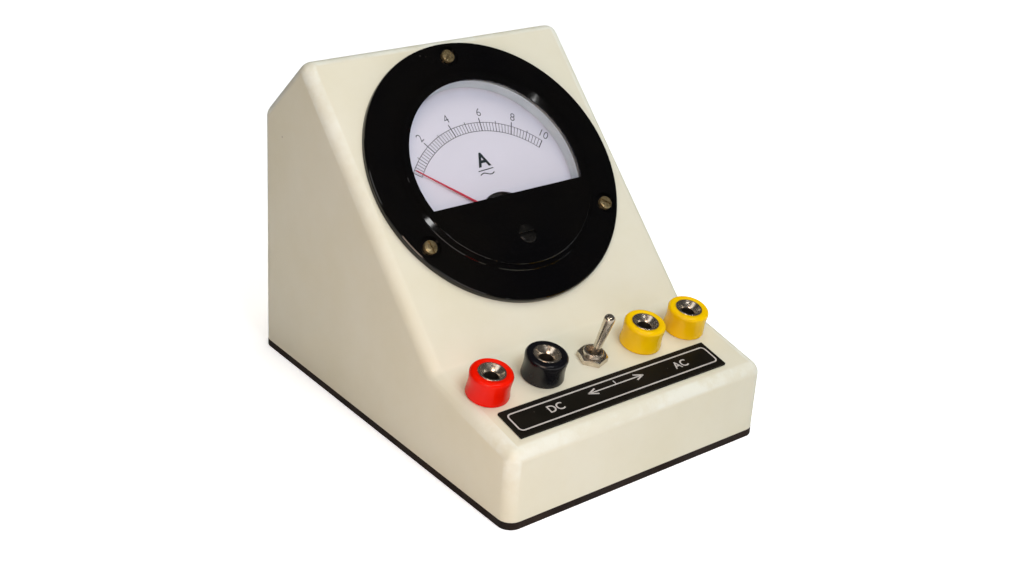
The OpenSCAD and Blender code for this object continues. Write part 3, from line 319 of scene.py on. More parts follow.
# Clear lens: thin enough to look straight through, with a mirror's share on its outer faces
def clearLens(look):
    finish, tree, skin = newFinish("clearLens", {
        "Base Color": rgba(look["tint"]), "Metallic": 1.0, "Roughness": look["rough"]})
    share = addNode(tree, "Fresnel", {"IOR": look["ior"]}).outputs["Fac"]
    inside = addNode(tree, "NewGeometry").outputs["Backfacing"]
    outside = addNode(tree, "Math", {"operation": "SUBTRACT", 0: 1.0}, {1: inside}).outputs[0]
    through = addNode(tree, "BsdfTransparent", {"Color": rgba(look["through"])})
    both = addNode(tree, "MixShader", {}, {"Fac": times(tree, share, outside)})
    tree.links.new(through.outputs["BSDF"], both.inputs[1])
    tree.links.new(skin.outputs["BSDF"], both.inputs[2])
    tree.links.new(both.outputs["Shader"], tree.nodes["Material Output"].inputs["Surface"])
    return finish


finishOfSlot = {
    "case": ivory, "base": baseBrown, "steel": steel, "strip": stripBlack, "red_plastic": redPlastic,
    "black_plastic": blackPlastic, "yellow_plastic": yellowPlastic, "blue_plastic": blueInsulation,
    "nickel": nickel, "meter_black": glossBlack, "lens": clearLens(lensLook), "surround": surroundGrey,
    "dial": dialPaint, "screw_brass": screwMetal, "adjuster": adjusterBlack, "aluminium": aluminium,
    "magnet": magnetGrey, "brass": brass, "copper": copper, "pointer_red": redPaint,
    "board": phenolic}
for subpart in frame["record"]["subparts"]:
    node = frame["nodes"][subpart["node"]]
    node.data.materials.clear()
    node.data.materials.append(finishOfSlot[subpart["material_slot"]])
print("finishes on", len(frame["nodes"]), "packed nodes")


# Meshes
def spun(profile, steps, join=1e-5):  # a profile of radius and height, turned about Z
    bm = bmesh.new()
    spots = [bm.verts.new((r, 0, z)) for r, z in profile]
    edges = [bm.edges.new(pair) for pair in zip(spots, spots[1:])]
    bmesh.ops.spin(bm, geom=spots + edges, axis=(0, 0, 1), cent=(0, 0, 0), angle=math.tau,
                   steps=steps, use_merge=True)
    bmesh.ops.remove_doubles(bm, verts=bm.verts, dist=join)
    return bm


def arcPoints(centre, radius, start, end, steps):
    turns = [math.radians(start + (end - start) * i / steps) for i in range(steps + 1)]
    return [(centre[0] + radius * math.cos(a), centre[1] + radius * math.sin(a)) for a in turns]


def ended(name, bm):
    mesh = bpy.data.meshes.new(name)
    bm.to_mesh(mesh)
    bm.free()
    return mesh


def smoothed(mesh, sharp=35):
    mesh.shade_smooth()
    mesh.set_sharp_from_angle(angle=math.radians(sharp))
    return mesh


def addTo(bm, other, place=None):  # joins a second mesh, moved by a matrix in the same units
    if place is not None:
        other.transform(place)
    mesh = ended("part", other)
    bm.from_mesh(mesh)
    bpy.data.meshes.remove(mesh)


def toMesh(name, bm, place):
    bm.transform(place @ Matrix.Scale(toMetres, 4))
    bmesh.ops.recalc_face_normals(bm, faces=bm.faces)
    return smoothed(ended(name, bm))


def linked(name, data):
    holder = bpy.data.objects.new(name, data)
    bpy.context.scene.collection.objects.link(holder)
    return holder


def settled(holder):  # its mesh with the modifiers worked in
    solved = holder.evaluated_get(bpy.context.evaluated_depsgraph_get())
    return bpy.data.meshes.new_from_object(solved)


def addPiece(name, mesh, finish, body, stands=()):
    piece = linked(name, mesh)
    mesh.materials.clear()
    mesh.materials.append(finish)
    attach(piece, body)
    if stands:
        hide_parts(*stands)
    return piece


def addSolid(name, bm, place, finish, body, stands):
    return addPiece(name, toMesh(name, bm, place), finish, body, stands)


def easeEdges(piece, width, sharp):
    ease = piece.modifiers.new("ease", "BEVEL")
    ease.width, ease.segments, ease.limit_method = width / toMillimetres, 2, "ANGLE"
    ease.angle_limit = math.radians(sharp)
    return ease


copyLook = {"join": 2e-6, "flat": 0.5, "sharp": 30}  # metres, and degrees between faces


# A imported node's mesh with its loose triangles joined and, where a width is given, its edges eased
def workedCopy(node, name, finish, body="case", sharp=copyLook["sharp"], width=0, alter=None):
    bm = bmesh.new()
    bm.from_mesh(frame["nodes"][node].data)
    bmesh.ops.remove_doubles(bm, verts=bm.verts, dist=copyLook["join"])
    bmesh.ops.dissolve_limit(bm, angle_limit=math.radians(copyLook["flat"]), verts=bm.verts, edges=bm.edges)
    if alter:
        alter(bm)
    piece = addPiece(name, smoothed(ended(name, bm), sharp), finish, body, [node])
    if width:
        easeEdges(piece, width, sharp).harden_normals = True
    return piece


def shape(piece, cutter, name, operation="DIFFERENCE"):  # a cutter takes from a piece for good
    holder = linked(name, cutter)
    cut = piece.modifiers.new(name, "BOOLEAN")
    cut.operation, cut.solver, cut.object = operation, "EXACT", holder
    mesh = settled(piece)
    piece.modifiers.remove(cut)
    piece.data = mesh
    bpy.data.objects.remove(holder)


# Prints: flat shapes in a panel's plane
def printed(name, bm, place, finish):  # ink that faces out of its panel
    for face in bm.faces:
        face.normal_update()
        if face.normal.z < 0:
            face.normal_flip()
    bm.transform(place @ Matrix.Scale(toMetres, 4))
    addPiece(name, ended(name, bm), finish, "case")


def bar(bm, start, end, width):  # a straight stroke between two points
    run = Vector(end) - Vector(start)
    turn = Matrix.Rotation(math.atan2(run.y, run.x), 4, "Z")
    size = Matrix.Diagonal((run.length / 2, width / 2, 1, 1))
    middle = Matrix.Translation(((start[0] + end[0]) / 2, (start[1] + end[1]) / 2, 0))
    bmesh.ops.create_grid(bm, x_segments=1, y_segments=1, size=1, matrix=middle @ turn @ size)


def polar(radius, angle):  # clockwise from straight up
    return radius * math.sin(math.radians(angle)), radius * math.cos(math.radians(angle))


def sweep(bm, inner, outer, start, end, steps):  # a band between two radii about the origin
    ends = [bm.verts.new((*polar(r, start), 0)) for r in (inner, outer)]
    edge = bm.edges.new(ends)
    bmesh.ops.spin(bm, geom=ends + [edge], axis=(0, 0, -1), cent=(0, 0, 0),
                   angle=math.radians(end - start), steps=steps)


def letters(bm, text, height, place, weight, squeeze):
    curve = bpy.data.curves.new("letters", "FONT")
    curve.body = text
    curve.align_x, curve.align_y = "CENTER", "CENTER"
    curve.offset = weight
    curve.resolution_u = 4
    holder = linked("letters", curve)
    mesh = settled(holder)
    low, high = corners([v.co for v in mesh.vertices])
    scale = height / (high.y - low.y)
    mesh.transform(Matrix.Translation((-(high.x + low.x) / 2, -(high.y + low.y) / 2, 0)))
    mesh.transform(place @ Matrix.Diagonal((scale * squeeze, scale, 1, 1)))
    bm.from_mesh(mesh)
    bpy.data.objects.remove(holder)
    bpy.data.curves.remove(curve)
    bpy.data.meshes.remove(mesh)


# The case
caseLook = {  # degrees, square millimetres, radians and a share of a hundred
    "smoothBelow": 32, "broad": 300, "hollow": -0.01, "evenWeight": 100}


def markWearAndSheen(mesh, look):  # vertices that touch no broad face and no hollow lie on a rounded edge, which the finish lightens as wear and as a painted highlight
    bm = bmesh.new()
    bm.from_mesh(mesh)
    kept = [any(face.calc_area() > look["broad"] * toMetres ** 2 for face in v.link_faces)
            or any(edge.calc_face_angle_signed(0) < look["hollow"] for edge in v.link_edges)
            for v in bm.verts]
    bm.free()
    wearAndSheen = mesh.attributes.new("wearAndSheen", "FLOAT", "POINT")
    for item, smooth in zip(wearAndSheen.data, kept):
        item.value = 0.0 if smooth else 1.0


def buildCase(look):
    piece = workedCopy("case_shell", "moulded_case", ivory, sharp=look["smoothBelow"])
    markWearAndSheen(piece.data, look)
    even = piece.modifiers.new("even", "WEIGHTED_NORMAL")
    even.keep_sharp = True
    even.weight = look["evenWeight"]


buildCase(caseLook)
print("case ready")

# The sockets: a moulded head and a plated sleeve with a flared mouth; depths are below the top
socketLook = {
    "footEase": 0.35, "rimEase": 1.15, "rimTurn": 84, "waist": 0.22, "waistCurve": 1.3, "waistSteps": 12,
    "dish": 0.25, "dishWide": 0.5, "dishShare": 0.55, "holeEase": 0.12, "gap": 0.06, "spigot": 1.2,
    "collarDeep": 1.0, "neckDeep": 2.6, "tubeDeep": 2.7, "pinEase": 0.15, "tubeEase": 0.2,
    "lipEase": 0.22, "lipWide": 0.42, "lipInner": 0.1, "lipTurn": 150, "mouthStep": 0.2, "mouthDeep": 1.75,
    "mouthCurve": 1.25, "mouthSteps": 8, "bore": 2.0, "boreDeep": 17.0, "floorEase": 0.4,
    "rimDeep": 1.0, "rimSlack": 0.3, "darkAbove": 2, "darkSlack": 0.05,
    "headSteps": 120, "sleeveSteps": 96, "easeSteps": 5, "rimSteps": 12, "lipSteps": 3}


def headProfile(look, foot, rim, mouth, tube, low, top):  # a closed outline, outside first
    outline = arcPoints((foot - look["footEase"], look["footEase"]), look["footEase"], -90, 0,
                        look["easeSteps"])
    rise = top - look["rimEase"]
    for i in range(1, look["waistSteps"]):  # from the foot in to the waist and out to the rim
        share = i / look["waistSteps"]
        dip = look["waist"] * math.sin(math.pi * share) ** look["waistCurve"]
        outline.append((foot + (rim - foot) * share - dip,
                        look["footEase"] + (rise - look["footEase"]) * share))
    outline += arcPoints((rim - look["rimEase"], rise), look["rimEase"], 0, look["rimTurn"],
                         look["rimSteps"])
    hole, dish = mouth + look["gap"], top - look["dish"]
    outline += [(mouth + look["dishWide"], top - look["dish"] * look["dishShare"]),
                (mouth + look["holeEase"], dish), (hole, dish - look["holeEase"]),
                (hole, top - look["collarDeep"]), (tube + look["gap"], top - look["neckDeep"]),
                (tube + look["gap"], low), (foot - look["spigot"], low), (foot - look["spigot"], 0),
                (foot - look["footEase"], 0)]
    return outline


def sleeveProfile(look, mouth, tube, pin, heights):  # up the outside and down the bore
    pinEnd, tubeEnd, top = heights
    outline = [(0, pinEnd), (pin - look["pinEase"], pinEnd), (pin, pinEnd + look["pinEase"]), (pin, tubeEnd),
               (tube - look["tubeEase"], tubeEnd), (tube, tubeEnd + look["tubeEase"]),
               (tube, top - look["tubeDeep"]), (mouth, top - look["collarDeep"])]
    outline += arcPoints((mouth - look["lipEase"], top - look["lipEase"]), look["lipEase"], 0, 90,
                         look["easeSteps"])
    outline += arcPoints((mouth - look["lipWide"], top - look["lipInner"]), look["lipInner"], 90,
                         look["lipTurn"], look["lipSteps"])
    inner = mouth - look["lipWide"] - look["mouthStep"]
    for i in range(1, look["mouthSteps"] + 1):  # a funnel that steepens into the bore
        share = i / look["mouthSteps"]
        outline.append((look["bore"] + (inner - look["bore"]) * (1 - share) ** look["mouthCurve"],
                        top - look["mouthStep"] - (look["mouthDeep"] - look["mouthStep"]) * share))
    floor = top - look["neckDeep"] - look["boreDeep"]
    return outline + [(look["bore"], floor + look["floorEase"]), (look["bore"] - look["floorEase"], floor),
                      (0, floor)]


def buildSocket(colour, finish, look):
    head, sleeve = colour + "_socket_head", colour + "_socket_sleeve"
    place = socketFrames[colour]
    low, high = reach(head, place)
    deep, tall = reach(sleeve, place)
    levels = sorted({round(spot.z, 2) for spot in spotsOf(sleeve, place)})
    pin, tube, mouth = (girth(sleeve, place, levels[i]) for i in (0, 1, -1))
    foot = girth(head, place, 0)
    rim = girth(head, place, high.z - look["rimDeep"], look["rimSlack"])
    outside = headProfile(look, foot, rim, mouth, tube, low.z, high.z)
    addSolid(colour + "_moulded_head", spun(outside, look["headSteps"]), place, finish, "case", [head])
    inside = sleeveProfile(look, mouth, tube, pin, (deep.z, levels[1], tall.z))
    piece = addSolid(colour + "_plug_mouth", spun(inside, look["sleeveSteps"]), place, nickel, "case",
                     [sleeve])
    piece.data.materials.append(boreShade)
    back = place.inverted()
    for face in piece.data.polygons:  # the bore is painted dark: painted shade where light does not reach it, together with tarnish from age
        spot = (back @ face.center) * toMillimetres
        within = deep.z + look["darkAbove"] < spot.z < tall.z - look["mouthDeep"] + look["darkSlack"]
        if within and spot.xy.length < look["bore"] + look["darkSlack"]:
            face.material_index = 1


for colour, finish, slot in (("red", redPlastic, "red_plastic"), ("black", blackPlastic, "black_plastic"),
                             ("left_yellow", yellowPlastic, "yellow_plastic"),
                             ("right_yellow", yellowPlastic, "yellow_plastic")):
    buildSocket(colour, finish, socketLook)
print("sockets ready")

# The toggle switch
nutLook = {
    "sides": 6, "chamfer": 0.88, "chamferIn": 0.12, "holeEase": (0.35, 0.25), "ease": 0.07, "sharp": 25,
    "past": 0.1, "beyond": 1, "domeSteps": 120, "holeSteps": 72}  # past and beyond: how far cutters reach


def buildNut(look):
    low, high = reach("switch_nut", switchFrame)
    spots = spotsOf("switch_nut", switchFrame)
    corner = max(spots, key=fromAxis)
    radius, bore, tall = fromAxis(corner), min(map(fromAxis, spots)), high.z - low.z
    bm = bmesh.new()
    bmesh.ops.create_cone(bm, cap_ends=True, segments=look["sides"], radius1=radius, radius2=radius,
                          depth=tall, matrix=Matrix.Translation((0, 0, tall / 2)))
    first = next(iter(bm.verts)).co
    turn = math.atan2(corner.y, corner.x) - math.atan2(first.y, first.x)
    bm.transform(Matrix.Rotation(turn, 4, "Z"))
    piece = addSolid("hexagon_nut", bm, switchFrame, nickel, "case", ["switch_nut"])
    flat, past, beyond = radius * math.cos(math.pi / look["sides"]), look["past"], look["beyond"]
    dome = [(0, -past), (radius + beyond, -past), (radius + beyond, tall - look["chamfer"]),
            (flat - look["chamferIn"], tall), (0, tall)]
    shape(piece, toMesh("dome", spun(dome, look["domeSteps"]), switchFrame), "dome", "INTERSECT")
    wide, deep = look["holeEase"]
    hole = [(0, -beyond), (bore, -beyond), (bore, tall - deep), (bore + wide, tall + past), (0, tall + past)]
    shape(piece, toMesh("hole", spun(hole, look["holeSteps"]), switchFrame), "hole")
    piece.data.materials.clear()
    piece.data.materials.append(nickel)
    easeEdges(piece, look["ease"], look["sharp"])


bushingLook = {
    "pitch": 0.5, "thread": 0.09, "threadFrom": 0.1, "threadEnd": 0.75, "shank": 0.3, "lipEase": 0.25,
    "rimFlat": 0.12, "mouth": 2.2, "neck": 1.72, "neckDeep": 2.4, "neckFall": 0.5, "plateEase": 0.1,
    "plateSlack": 0.05, "footSlack": 0.1, "steps": 96, "easeSteps": 5}


def buildBushing(look):
    low, high = reach("switch_bushing", switchFrame)
    spots = spotsOf("switch_bushing", switchFrame)
    plate = [p for p in spots if abs(p.x) > high.x - look["plateSlack"]]
    under, over = min(p.z for p in plate), max(p.z for p in plate)
    radius = girth("switch_bushing", switchFrame, high.z)
    ball = min(fromAxis(p) for p in spots if p.z < under + look["footSlack"])
    root, rim, lip = radius - look["thread"], look["rimFlat"], look["lipEase"]
    outline = [(ball, under), (radius - look["shank"], under), (radius - look["shank"], over)]
    z = over + look["threadFrom"]
    while z < high.z - look["threadEnd"]:  # a thread, drawn as rings
        outline += [(root, z), (radius, z + look["pitch"] / 2)]
        z += look["pitch"]
    outline += [(root, z)]
    outline += arcPoints((radius - rim - lip, high.z - lip), lip, 0, 90, look["easeSteps"])
    outline += [(look["mouth"] + rim, high.z), (look["mouth"], high.z - rim),
                (look["neck"], high.z - look["neckDeep"]),
                (ball, high.z - look["neckDeep"] - look["neckFall"]), (ball, under)]
    bm = spun(outline, look["steps"])
    sheet = bmesh.new()
    middle = Matrix.Translation(((low.x + high.x) / 2, (low.y + high.y) / 2, (under + over) / 2))
    size = Matrix.Diagonal((high.x - low.x, high.y - low.y, over - under, 1))
    bmesh.ops.create_cube(sheet, size=1, matrix=middle @ size)
    bmesh.ops.bevel(sheet, geom=sheet.edges[:], offset=look["plateEase"], segments=2, profile=0.5,
                    affect="EDGES", material=-1)
    addTo(bm, sheet)
    addSolid("threaded_bushing", bm, switchFrame, nickel, "case", ["switch_bushing"])


leverLook = {
    "tail": (0.55, 0.05), "waist": (0.9, -1), "shaft": (1.02, 1.2), "swell": [(0.06, 0.9), (0.02, 0.5)],
    "tipDeep": 1.3, "tipSlack": 0.4, "tipTurn": 4, "tipSteps": 10, "ball": 1.6, "pin": 0.5,
    "steps": 64, "ballSteps": (32, 16), "pinSteps": 24}


def buildLever(look):
    back = switchFrame.inverted()
    pivot = back @ leverPivot
    lean = max((back @ v.co for v in frame["nodes"]["switch_lever"].data.vertices), key=lambda p: p.z)
    tilt = math.atan2(lean.x - pivot.x, lean.z - pivot.z)
    place = switchFrame @ Matrix.Translation(pivot) @ Matrix.Rotation(tilt, 4, "Y")
    low, high = reach("switch_lever", place)
    tip = girth("switch_lever", place, high.z - look["tipDeep"], look["tipSlack"])
    outline = [(0, low.z), (look["tail"][0], low.z + look["tail"][1]), look["waist"], look["shaft"]]
    outline += [(tip - thin, high.z - tip - below) for thin, below in look["swell"]]
    outline += arcPoints((0, high.z - tip), tip, look["tipTurn"], 90, look["tipSteps"])
    bm = spun(outline, look["steps"])
    joint = bmesh.new()
    around, along = look["ballSteps"]
    bmesh.ops.create_uvsphere(joint, u_segments=around, v_segments=along, radius=look["ball"])
    addTo(bm, joint)
    pin = [(0, -high.y), (look["pin"], -high.y), (look["pin"], high.y), (0, high.y)]
    addTo(bm, spun(pin, look["pinSteps"]), Matrix.Rotation(math.pi / 2, 4, "X"))
    addSolid("toggle_lever", bm, place, nickel, "lever", ["switch_lever"])


buildNut(nutLook)
buildBushing(bushingLook)
buildLever(leverLook)
print("switch ready")

# The meter: its screws, the pale ring round the dial, the zero adjuster and the pointer
screwLook = {
    "turns": [(90, 38), (210, 96), (330, -40)],  # where each screw sits, and how far its slot is turned
    "around": 20, "head": 2.05, "tall": 1.5, "domeRise": 0.22, "domeIn": 0.3, "domeSteps": 8,
    "shankEase": 0.3, "shankBelow": 1, "headEase": 0.1, "rimEase": 0.35, "rimTurn": 70, "rimSteps": 5,
    "slot": 0.58, "slotDeep": 0.7, "slotPast": 1, "steps": 72}


def screwProfile(look, shank, low, high):
    seat, top, head = high - look["tall"], high - look["domeRise"], look["head"]
    outline = [(0, low), (shank - look["shankEase"], low), (shank, low + look["shankEase"]), (shank, seat),
               (head - look["headEase"], seat), (head, seat + look["headEase"])]
    outline += arcPoints((head - look["rimEase"], top - look["rimEase"]), look["rimEase"], 0,
                         look["rimTurn"], look["rimSteps"])
    for i in range(1, look["domeSteps"] + 1):
        share = i / look["domeSteps"]
        outline.append(((head - look["domeIn"]) * (1 - share),
                        top + look["domeRise"] * math.sin(share * math.pi / 2)))
    return outline


def buildScrews(look):
    low, high = reach("meter_screws", meterFrame)
    spots = spotsOf("meter_screws", meterFrame)
    joined = bmesh.new()
    for angle, turn in look["turns"]:
        own = [p for p in spots if abs(math.degrees(math.atan2(p.y, p.x)) % 360 - angle) < look["around"]]
        start, end = corners(own)
        middle = (start + end) / 2
        below = [p for p in own if p.z < high.z - look["tall"] - look["shankBelow"]]
        shank = min(math.hypot(p.x - middle.x, p.y - middle.y) for p in below)
        profile = screwProfile(look, shank, low.z, high.z)
        screw = toMesh("screw", spun(profile, look["steps"]), shifted(meterFrame, middle.x, middle.y))
        piece = linked("screw", screw)
        slot = bmesh.new()
        bmesh.ops.create_cube(slot, size=1, matrix=Matrix.Diagonal(
            (2 * look["head"] + look["slotPast"], look["slot"], look["slotDeep"] * 2, 1)))
        at = shifted(meterFrame, middle.x, middle.y, high.z) @ Matrix.Rotation(math.radians(turn), 4, "Z")
        cutter = toMesh("slot", slot, at)
        for finish in (screwMetal, boreShade):
            screw.materials.append(finish)
            cutter.materials.append(finish)
        for face in cutter.polygons:  # the slot's walls take painted shade
            face.material_index = 1
        shape(piece, cutter, "slot")
        joined.from_mesh(piece.data)
        bpy.data.objects.remove(piece)
    mesh = smoothed(ended("slotted_meter_screws", joined))
    addPiece("slotted_meter_screws", mesh, screwMetal, "case", ["meter_screws"])
    mesh.materials.append(boreShade)


surroundLook = {
    "inner": 28.55, "top": 28.95, "gap": 0.03, "foot": 0.2, "curve": 1.4, "slopeSteps": 6, "steps": 144}


def buildSurround(look):
    low, high = reach("dial_surround", meterFrame)
    outer, foot = high.x - (high.x + low.x) / 2, low.z + look["gap"]
    outline = [(look["inner"], foot), (outer, foot), (outer, high.z), (look["top"], high.z)]
    for i in range(1, look["slopeSteps"] + 1):  # a hollowed slope down to the dial
        share = i / look["slopeSteps"]
        outline.append((look["top"] + (look["inner"] - look["top"]) * share ** look["curve"],
                        high.z + (low.z + look["foot"] - high.z) * share))
    outline.append((look["inner"], foot))
    addSolid("flared_surround", spun(outline, look["steps"]), meterFrame, surroundGrey, "case",
             ["dial_surround"])


adjusterLook = {"ease": 0.16, "headDeep": 1.2, "sharp": 30}


def easeHead(bm):  # rounds the adjuster's head and slot, and leaves its pin as it is
    back = meterFrame.inverted()
    top = max((back @ v.co).z for v in bm.verts)
    rims = [edge for edge in bm.edges if edge.calc_face_angle(0) > math.radians(adjusterLook["sharp"])
            and min((back @ v.co).z for v in edge.verts) > top - adjusterLook["headDeep"] / toMillimetres]
    bmesh.ops.bevel(bm, geom=rims, offset=adjusterLook["ease"] / toMillimetres, segments=2, profile=0.5,
                    affect="EDGES", material=-1, clamp_overlap=True)


pointerLook = {"hub": 6, "bladeShare": 0.42}


def slimBlade(bm):  # narrows the pointer's blade beyond its hub
    back = pivotFrame.inverted()
    spots = [(v, (back @ v.co) * toMillimetres) for v in bm.verts]
    tip = max(spots, key=lambda pair: pair[1].xy.length)[1]
    along = tip.xy.normalized()
    for v, p in spots:
        run = p.xy.dot(along)
        if run > pointerLook["hub"]:
            spot = along * run + (p.xy - along * run) * pointerLook["bladeShare"]
            v.co = pivotFrame @ (Vector((spot.x, spot.y, p.z)) * toMetres)


buildScrews(screwLook)
buildSurround(surroundLook)
workedCopy("zero_adjuster", "slotted_adjuster", adjusterBlack, body="adjuster", alter=easeHead)
workedCopy("pointer", "painted_pointer", redPaint, body="movement", alter=slimBlade)
print("meter ready")

# The dial's print: a scale of fifty steps, its numbers, and the unit over its direct and alternating signs
inkGrain = {"cloudScale": 400, "glossScale": 300, "rough": (0.5, 0.6), "grainScale": 1500, "grain": 0.05}
scaleInk = plastic("greyScaleInk", {
    **inkGrain, "colour": (0.07, 0.07, 0.085), "cloud": (0.12, 0.12, 0.14)})
unitInk = plastic("darkUnitInk", {
    **inkGrain, "colour": (0.012, 0.02, 0.024), "cloud": (0.02, 0.03, 0.034)})
dialLook = {
    "zero": -50.1, "full": 46.6, "steps": 50, "outer": 31.9, "inner": 29.1, "arcSteps": 90, "line": 0.19,
    "fine": 0.18, "fifthWide": 1.3, "bold": 0.34, "evenTip": 33.4, "oddTip": 32.6, "endTip": 32.0,
    "lift": 0.02,
    "numbers": [("2", 35.3, -30.2), ("4", 35.3, -10.7), ("6", 35.3, 8.8), ("8", 35.3, 27.8),
                ("10", 34.4, 46.5)],  # each with its radius and its angle
    "numberTall": 2.6, "numberWeight": -0.008, "numberSqueeze": 0.95,
    "unitTall": 4.6, "unitAt": (-0.3, 20.05), "unitWeight": 0.028, "unitSqueeze": 0.98,
    "direct": ((-3.3, 16.65), (2.25, 16.95), 0.3),  # start, end and width
    "waveFrom": (-3.1, 15.35), "waveRun": 5.1, "waveClimb": 0.02, "waveTall": 0.42, "waveWide": 0.32,
    "waveSteps": 14}


def tickOf(i, look):  # where a mark ends, and its width
    if i % 5:
        return look["outer"], look["fine"]
    width = look["fine"] * look["fifthWide"] if i % 10 or i == 0 else look["bold"]
    if i in (0, look["steps"]):
        return look["endTip"], width
    return look["oddTip"] if i % 10 else look["evenTip"], width


def buildScale(look, place):
    ink = bmesh.new()
    for radius in (look["outer"], look["inner"]):
        sweep(ink, radius - look["line"] / 2, radius + look["line"] / 2, look["zero"], look["full"],
              look["arcSteps"])
    span = look["full"] - look["zero"]
    for i in range(look["steps"] + 1):
        angle = look["zero"] + span * i / look["steps"]
        tip, width = tickOf(i, look)
        bar(ink, polar(look["inner"], angle), polar(tip, angle), width)
    for text, radius, angle in look["numbers"]:
        turn = Matrix.Rotation(-math.radians(angle), 4, "Z")
        letters(ink, text, look["numberTall"], turn @ Matrix.Translation((0, radius, 0)),
                look["numberWeight"], look["numberSqueeze"])
    printed("dial_scale_print", ink, place, scaleInk)


def buildUnit(look, place):
    ink = bmesh.new()
    letters(ink, "A", look["unitTall"], Matrix.Translation((*look["unitAt"], 0)), look["unitWeight"],
            look["unitSqueeze"])
    bar(ink, *look["direct"])
    left, level = look["waveFrom"]
    last = look["waveSteps"]
    wave = [(left + look["waveRun"] * i / last, level + look["waveClimb"] * i
             + look["waveTall"] * math.sin(math.tau * i / last)) for i in range(last + 1)]
    for start, end in zip(wave, wave[1:]):
        bar(ink, start, end, look["waveWide"])
    printed("dial_unit_print", ink, place, unitInk)


dialFrame = shifted(pivotFrame, z=reach("dial_plate", pivotFrame)[1].z + dialLook["lift"])
buildScale(dialLook, dialFrame)
buildUnit(dialLook, dialFrame)
print("dial print ready")

# The marked strip
paleInk = plastic("paleStripInk", {
    **inkGrain, "colour": (0.61, 0.585, 0.56), "cloud": (0.49, 0.465, 0.445), "cloudScale": 300,
    "rough": (0.45, 0.6), "grain": 0.1})
stripLook = {
    "ease": 0.12, "margin": (1.15, 1.65), "corner": 1.5, "cornerSteps": 8, "line": 0.46, "lift": 0.02,
    "arrow": (-9.35, 10.35, 0.93), "shaft": 0.4,  # left tip, right tip and level
    "barb": (2.9, 1.1), "barbPast": (0.15, 0.06), "barbWide": 0.48,
    "tick": (0.6, 1.05, 2.5), "tickWide": 0.34,  # across, from and to
    "words": [("DC", -21.3, 0.35), ("AC", 23.9, 0.1)], "tall": 2.75, "weight": 0.013, "squeeze": 0.98}


def buildStrip(look):
    workedCopy("label_plate", "marked_strip", stripBlack, width=look["ease"])
    low, high = reach("label_plate", switchFrame)
    place = shifted(switchFrame, x=(low.x + high.x) / 2, y=(low.y + high.y) / 2, z=high.z + look["lift"])
    half = ((high.x - low.x) / 2 - look["margin"][0], (high.y - low.y) / 2 - look["margin"][1])
    ink = bmesh.new()
    bmesh.ops.create_grid(ink, x_segments=1, y_segments=1, size=1, matrix=Matrix.Diagonal((*half, 1, 1)))
    bmesh.ops.bevel(ink, geom=ink.verts[:], offset=look["corner"], offset_type="OFFSET",
                    segments=look["cornerSteps"], profile=0.5, affect="VERTICES", material=-1)
    bmesh.ops.inset_individual(ink, faces=ink.faces[:], thickness=look["line"])
    inner = max(ink.faces, key=lambda face: face.calc_area())
    bmesh.ops.delete(ink, geom=[inner], context="FACES")
    left, right, level = look["arrow"]
    bar(ink, (left, level), (right, level), look["shaft"])
    (run, rise), (past, over) = look["barb"], look["barbPast"]
    for tip, way in ((left, 1), (right, -1)):
        for side in (-1, 1):
            bar(ink, (tip - past * way, level - over * side), (tip + run * way, level + rise * side),
                look["barbWide"])
    x, start, end = look["tick"]
    bar(ink, (x, start), (x, end), look["tickWide"])
    for word, x, y in look["words"]:
        letters(ink, word, look["tall"], Matrix.Translation((x, y, 0)), look["weight"], look["squeeze"])
    printed("strip_print", ink, place, paleInk)


buildStrip(stripLook)
print("strip ready")

# The stage: a camera, a pale floor, a plain world and the lamps
stageLook = {
    "cameraPlace": (-0.256258, -0.312001, 0.225738), "cameraTurn": (66.811, -3.784, -39.083),
    "lens": 53.148, "shift": (-0.03, -0.06), "clip": (0.01, 20), "exposure": 0.0,
    "floor": (0.93, 0.93, 0.93), "floorHalf": 4, "floorDrop": -0.0001, "floorRough": 0.9, "floorGloss": 0.1,
    "floorGlow": 0.6, "world": 0.1, "worldTint": (0.9, 1, 1), "aim": (0, 0, 0.04),
    "lamps": [  # place, size, power and tint; then whether it shows in gloss, and whether it lights
        ("nearLamp", (-0.25, -0.24, 0.15), (0.15, 0.15), 0.34, (1.32, 1, 0.8), True, True),
        ("overheadLamp", (0.25, -0.1, 1.1), (0.8, 0.8), 4.9, (1.1, 1, 0.88), False, True),
        ("frontLamp", (0, -0.7, 0.88), (0.5, 0.4), 4.4, (0.9, 1.02, 1.14), False, True),
        ("glintLamp", (0, -0.8, 0.8), (0.5, 0.06), 1.3, (1, 1, 1), True, False),
        ("rimLamp", (0.85, 0.42, 0.12), (0.3, 0.03), 0.1, (0.9, 0.95, 1), True, False),
        ("edgeLamp", (-0.42, -0.85, 0.5), (0.3, 0.03), 0.05, (0.95, 0.9, 1), True, False),
        ("leftGlow", (-0.8, -0.2, 0.8), (0.5, 0.5), 1.2, (1, 0.97, 0.95), True, False),
        ("sideLamp", (1.0, 0.1, 0.5), (0.6, 0.6), 0.8, (1, 1, 1), False, True),
        ("backLamp", (0.45, 1.0, 0.45), (0.6, 0.6), 1.2, (1, 0.98, 0.94), False, True)]}


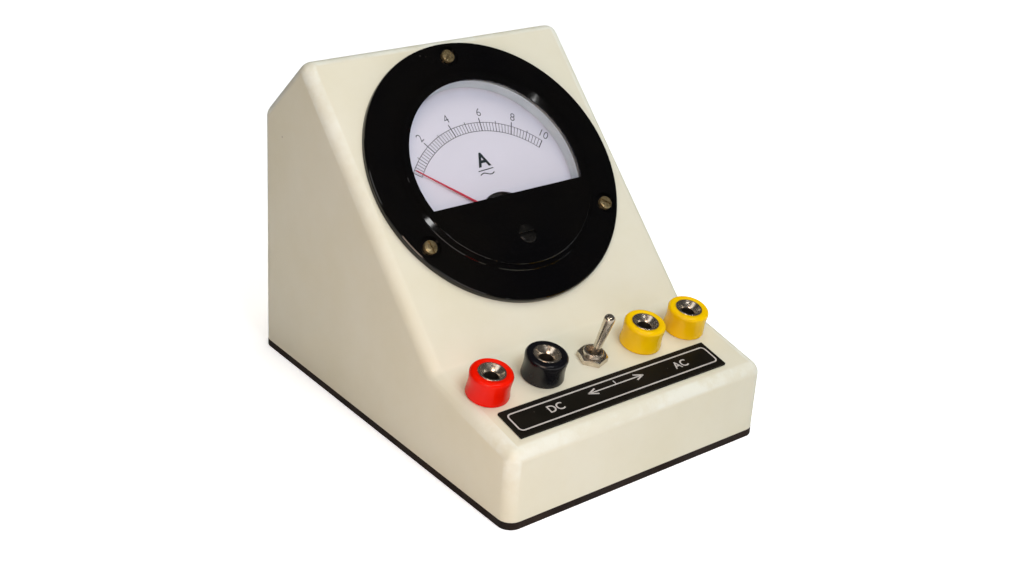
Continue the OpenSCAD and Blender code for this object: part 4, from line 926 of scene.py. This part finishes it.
def placeCamera(look):
    eye = bpy.data.cameras.new("camera")
    eye.lens = look["lens"]
    eye.shift_x, eye.shift_y = look["shift"]
    eye.clip_start, eye.clip_end = look["clip"]
    holder = linked("camera", eye)
    holder.location = look["cameraPlace"]
    holder.rotation_euler = [math.radians(a) for a in look["cameraTurn"]]
    bpy.context.scene.camera = holder


def layFloor(look):
    bm = bmesh.new()
    bmesh.ops.create_grid(bm, x_segments=1, y_segments=1, size=look["floorHalf"],
                          matrix=Matrix.Translation((0, 0, look["floorDrop"])))
    floor = linked("floor", ended("floor", bm))
    paper, tree, skin = newFinish("palePaper", {
        "Base Color": rgba(look["floor"]), "Roughness": look["floorRough"],
        "Specular IOR Level": look["floorGloss"], "Emission Color": rgba(look["floor"])})
    toEye = addNode(tree, "LightPath").outputs["Is Camera Ray"]
    tree.links.new(times(tree, toEye, look["floorGlow"]), skin.inputs["Emission Strength"])
    floor.data.materials.append(paper)


def makeWorld(look):  # white to the camera, dim to the piece
    world = bpy.data.worlds.new("studio")
    bpy.context.scene.world = world
    world.use_nodes = True
    world.cycles_visibility.glossy = False
    sky = world.node_tree
    backdrop = sky.nodes["Background"]
    toEye = addNode(sky, "LightPath").outputs["Is Camera Ray"]
    sky.links.new(mixed(sky, toEye, look["worldTint"], (1, 1, 1)), backdrop.inputs["Color"])
    sky.links.new(ramp(sky, toEye, look["world"], 1, 0, 1), backdrop.inputs["Strength"])


def addLamp(aim, name, place, size, power, tint, mirrored, lights):
    lamp = bpy.data.lights.new(name, "AREA")
    lamp.shape = "RECTANGLE"
    lamp.size, lamp.size_y = size
    lamp.energy = power
    lamp.color = tint
    holder = linked(name, lamp)
    holder.visible_glossy = mirrored
    holder.visible_diffuse = lights
    holder.location = place
    holder.rotation_euler = (Vector(aim) - Vector(place)).to_track_quat("-Z", "Y").to_euler()


placeCamera(stageLook)
layFloor(stageLook)
makeWorld(stageLook)
for lampLook in stageLook["lamps"]:
    addLamp(stageLook["aim"], *lampLook)
bpy.context.scene.view_settings.view_transform = "Standard"
bpy.context.scene.view_settings.exposure = stageLook["exposure"]
print("stage ready")
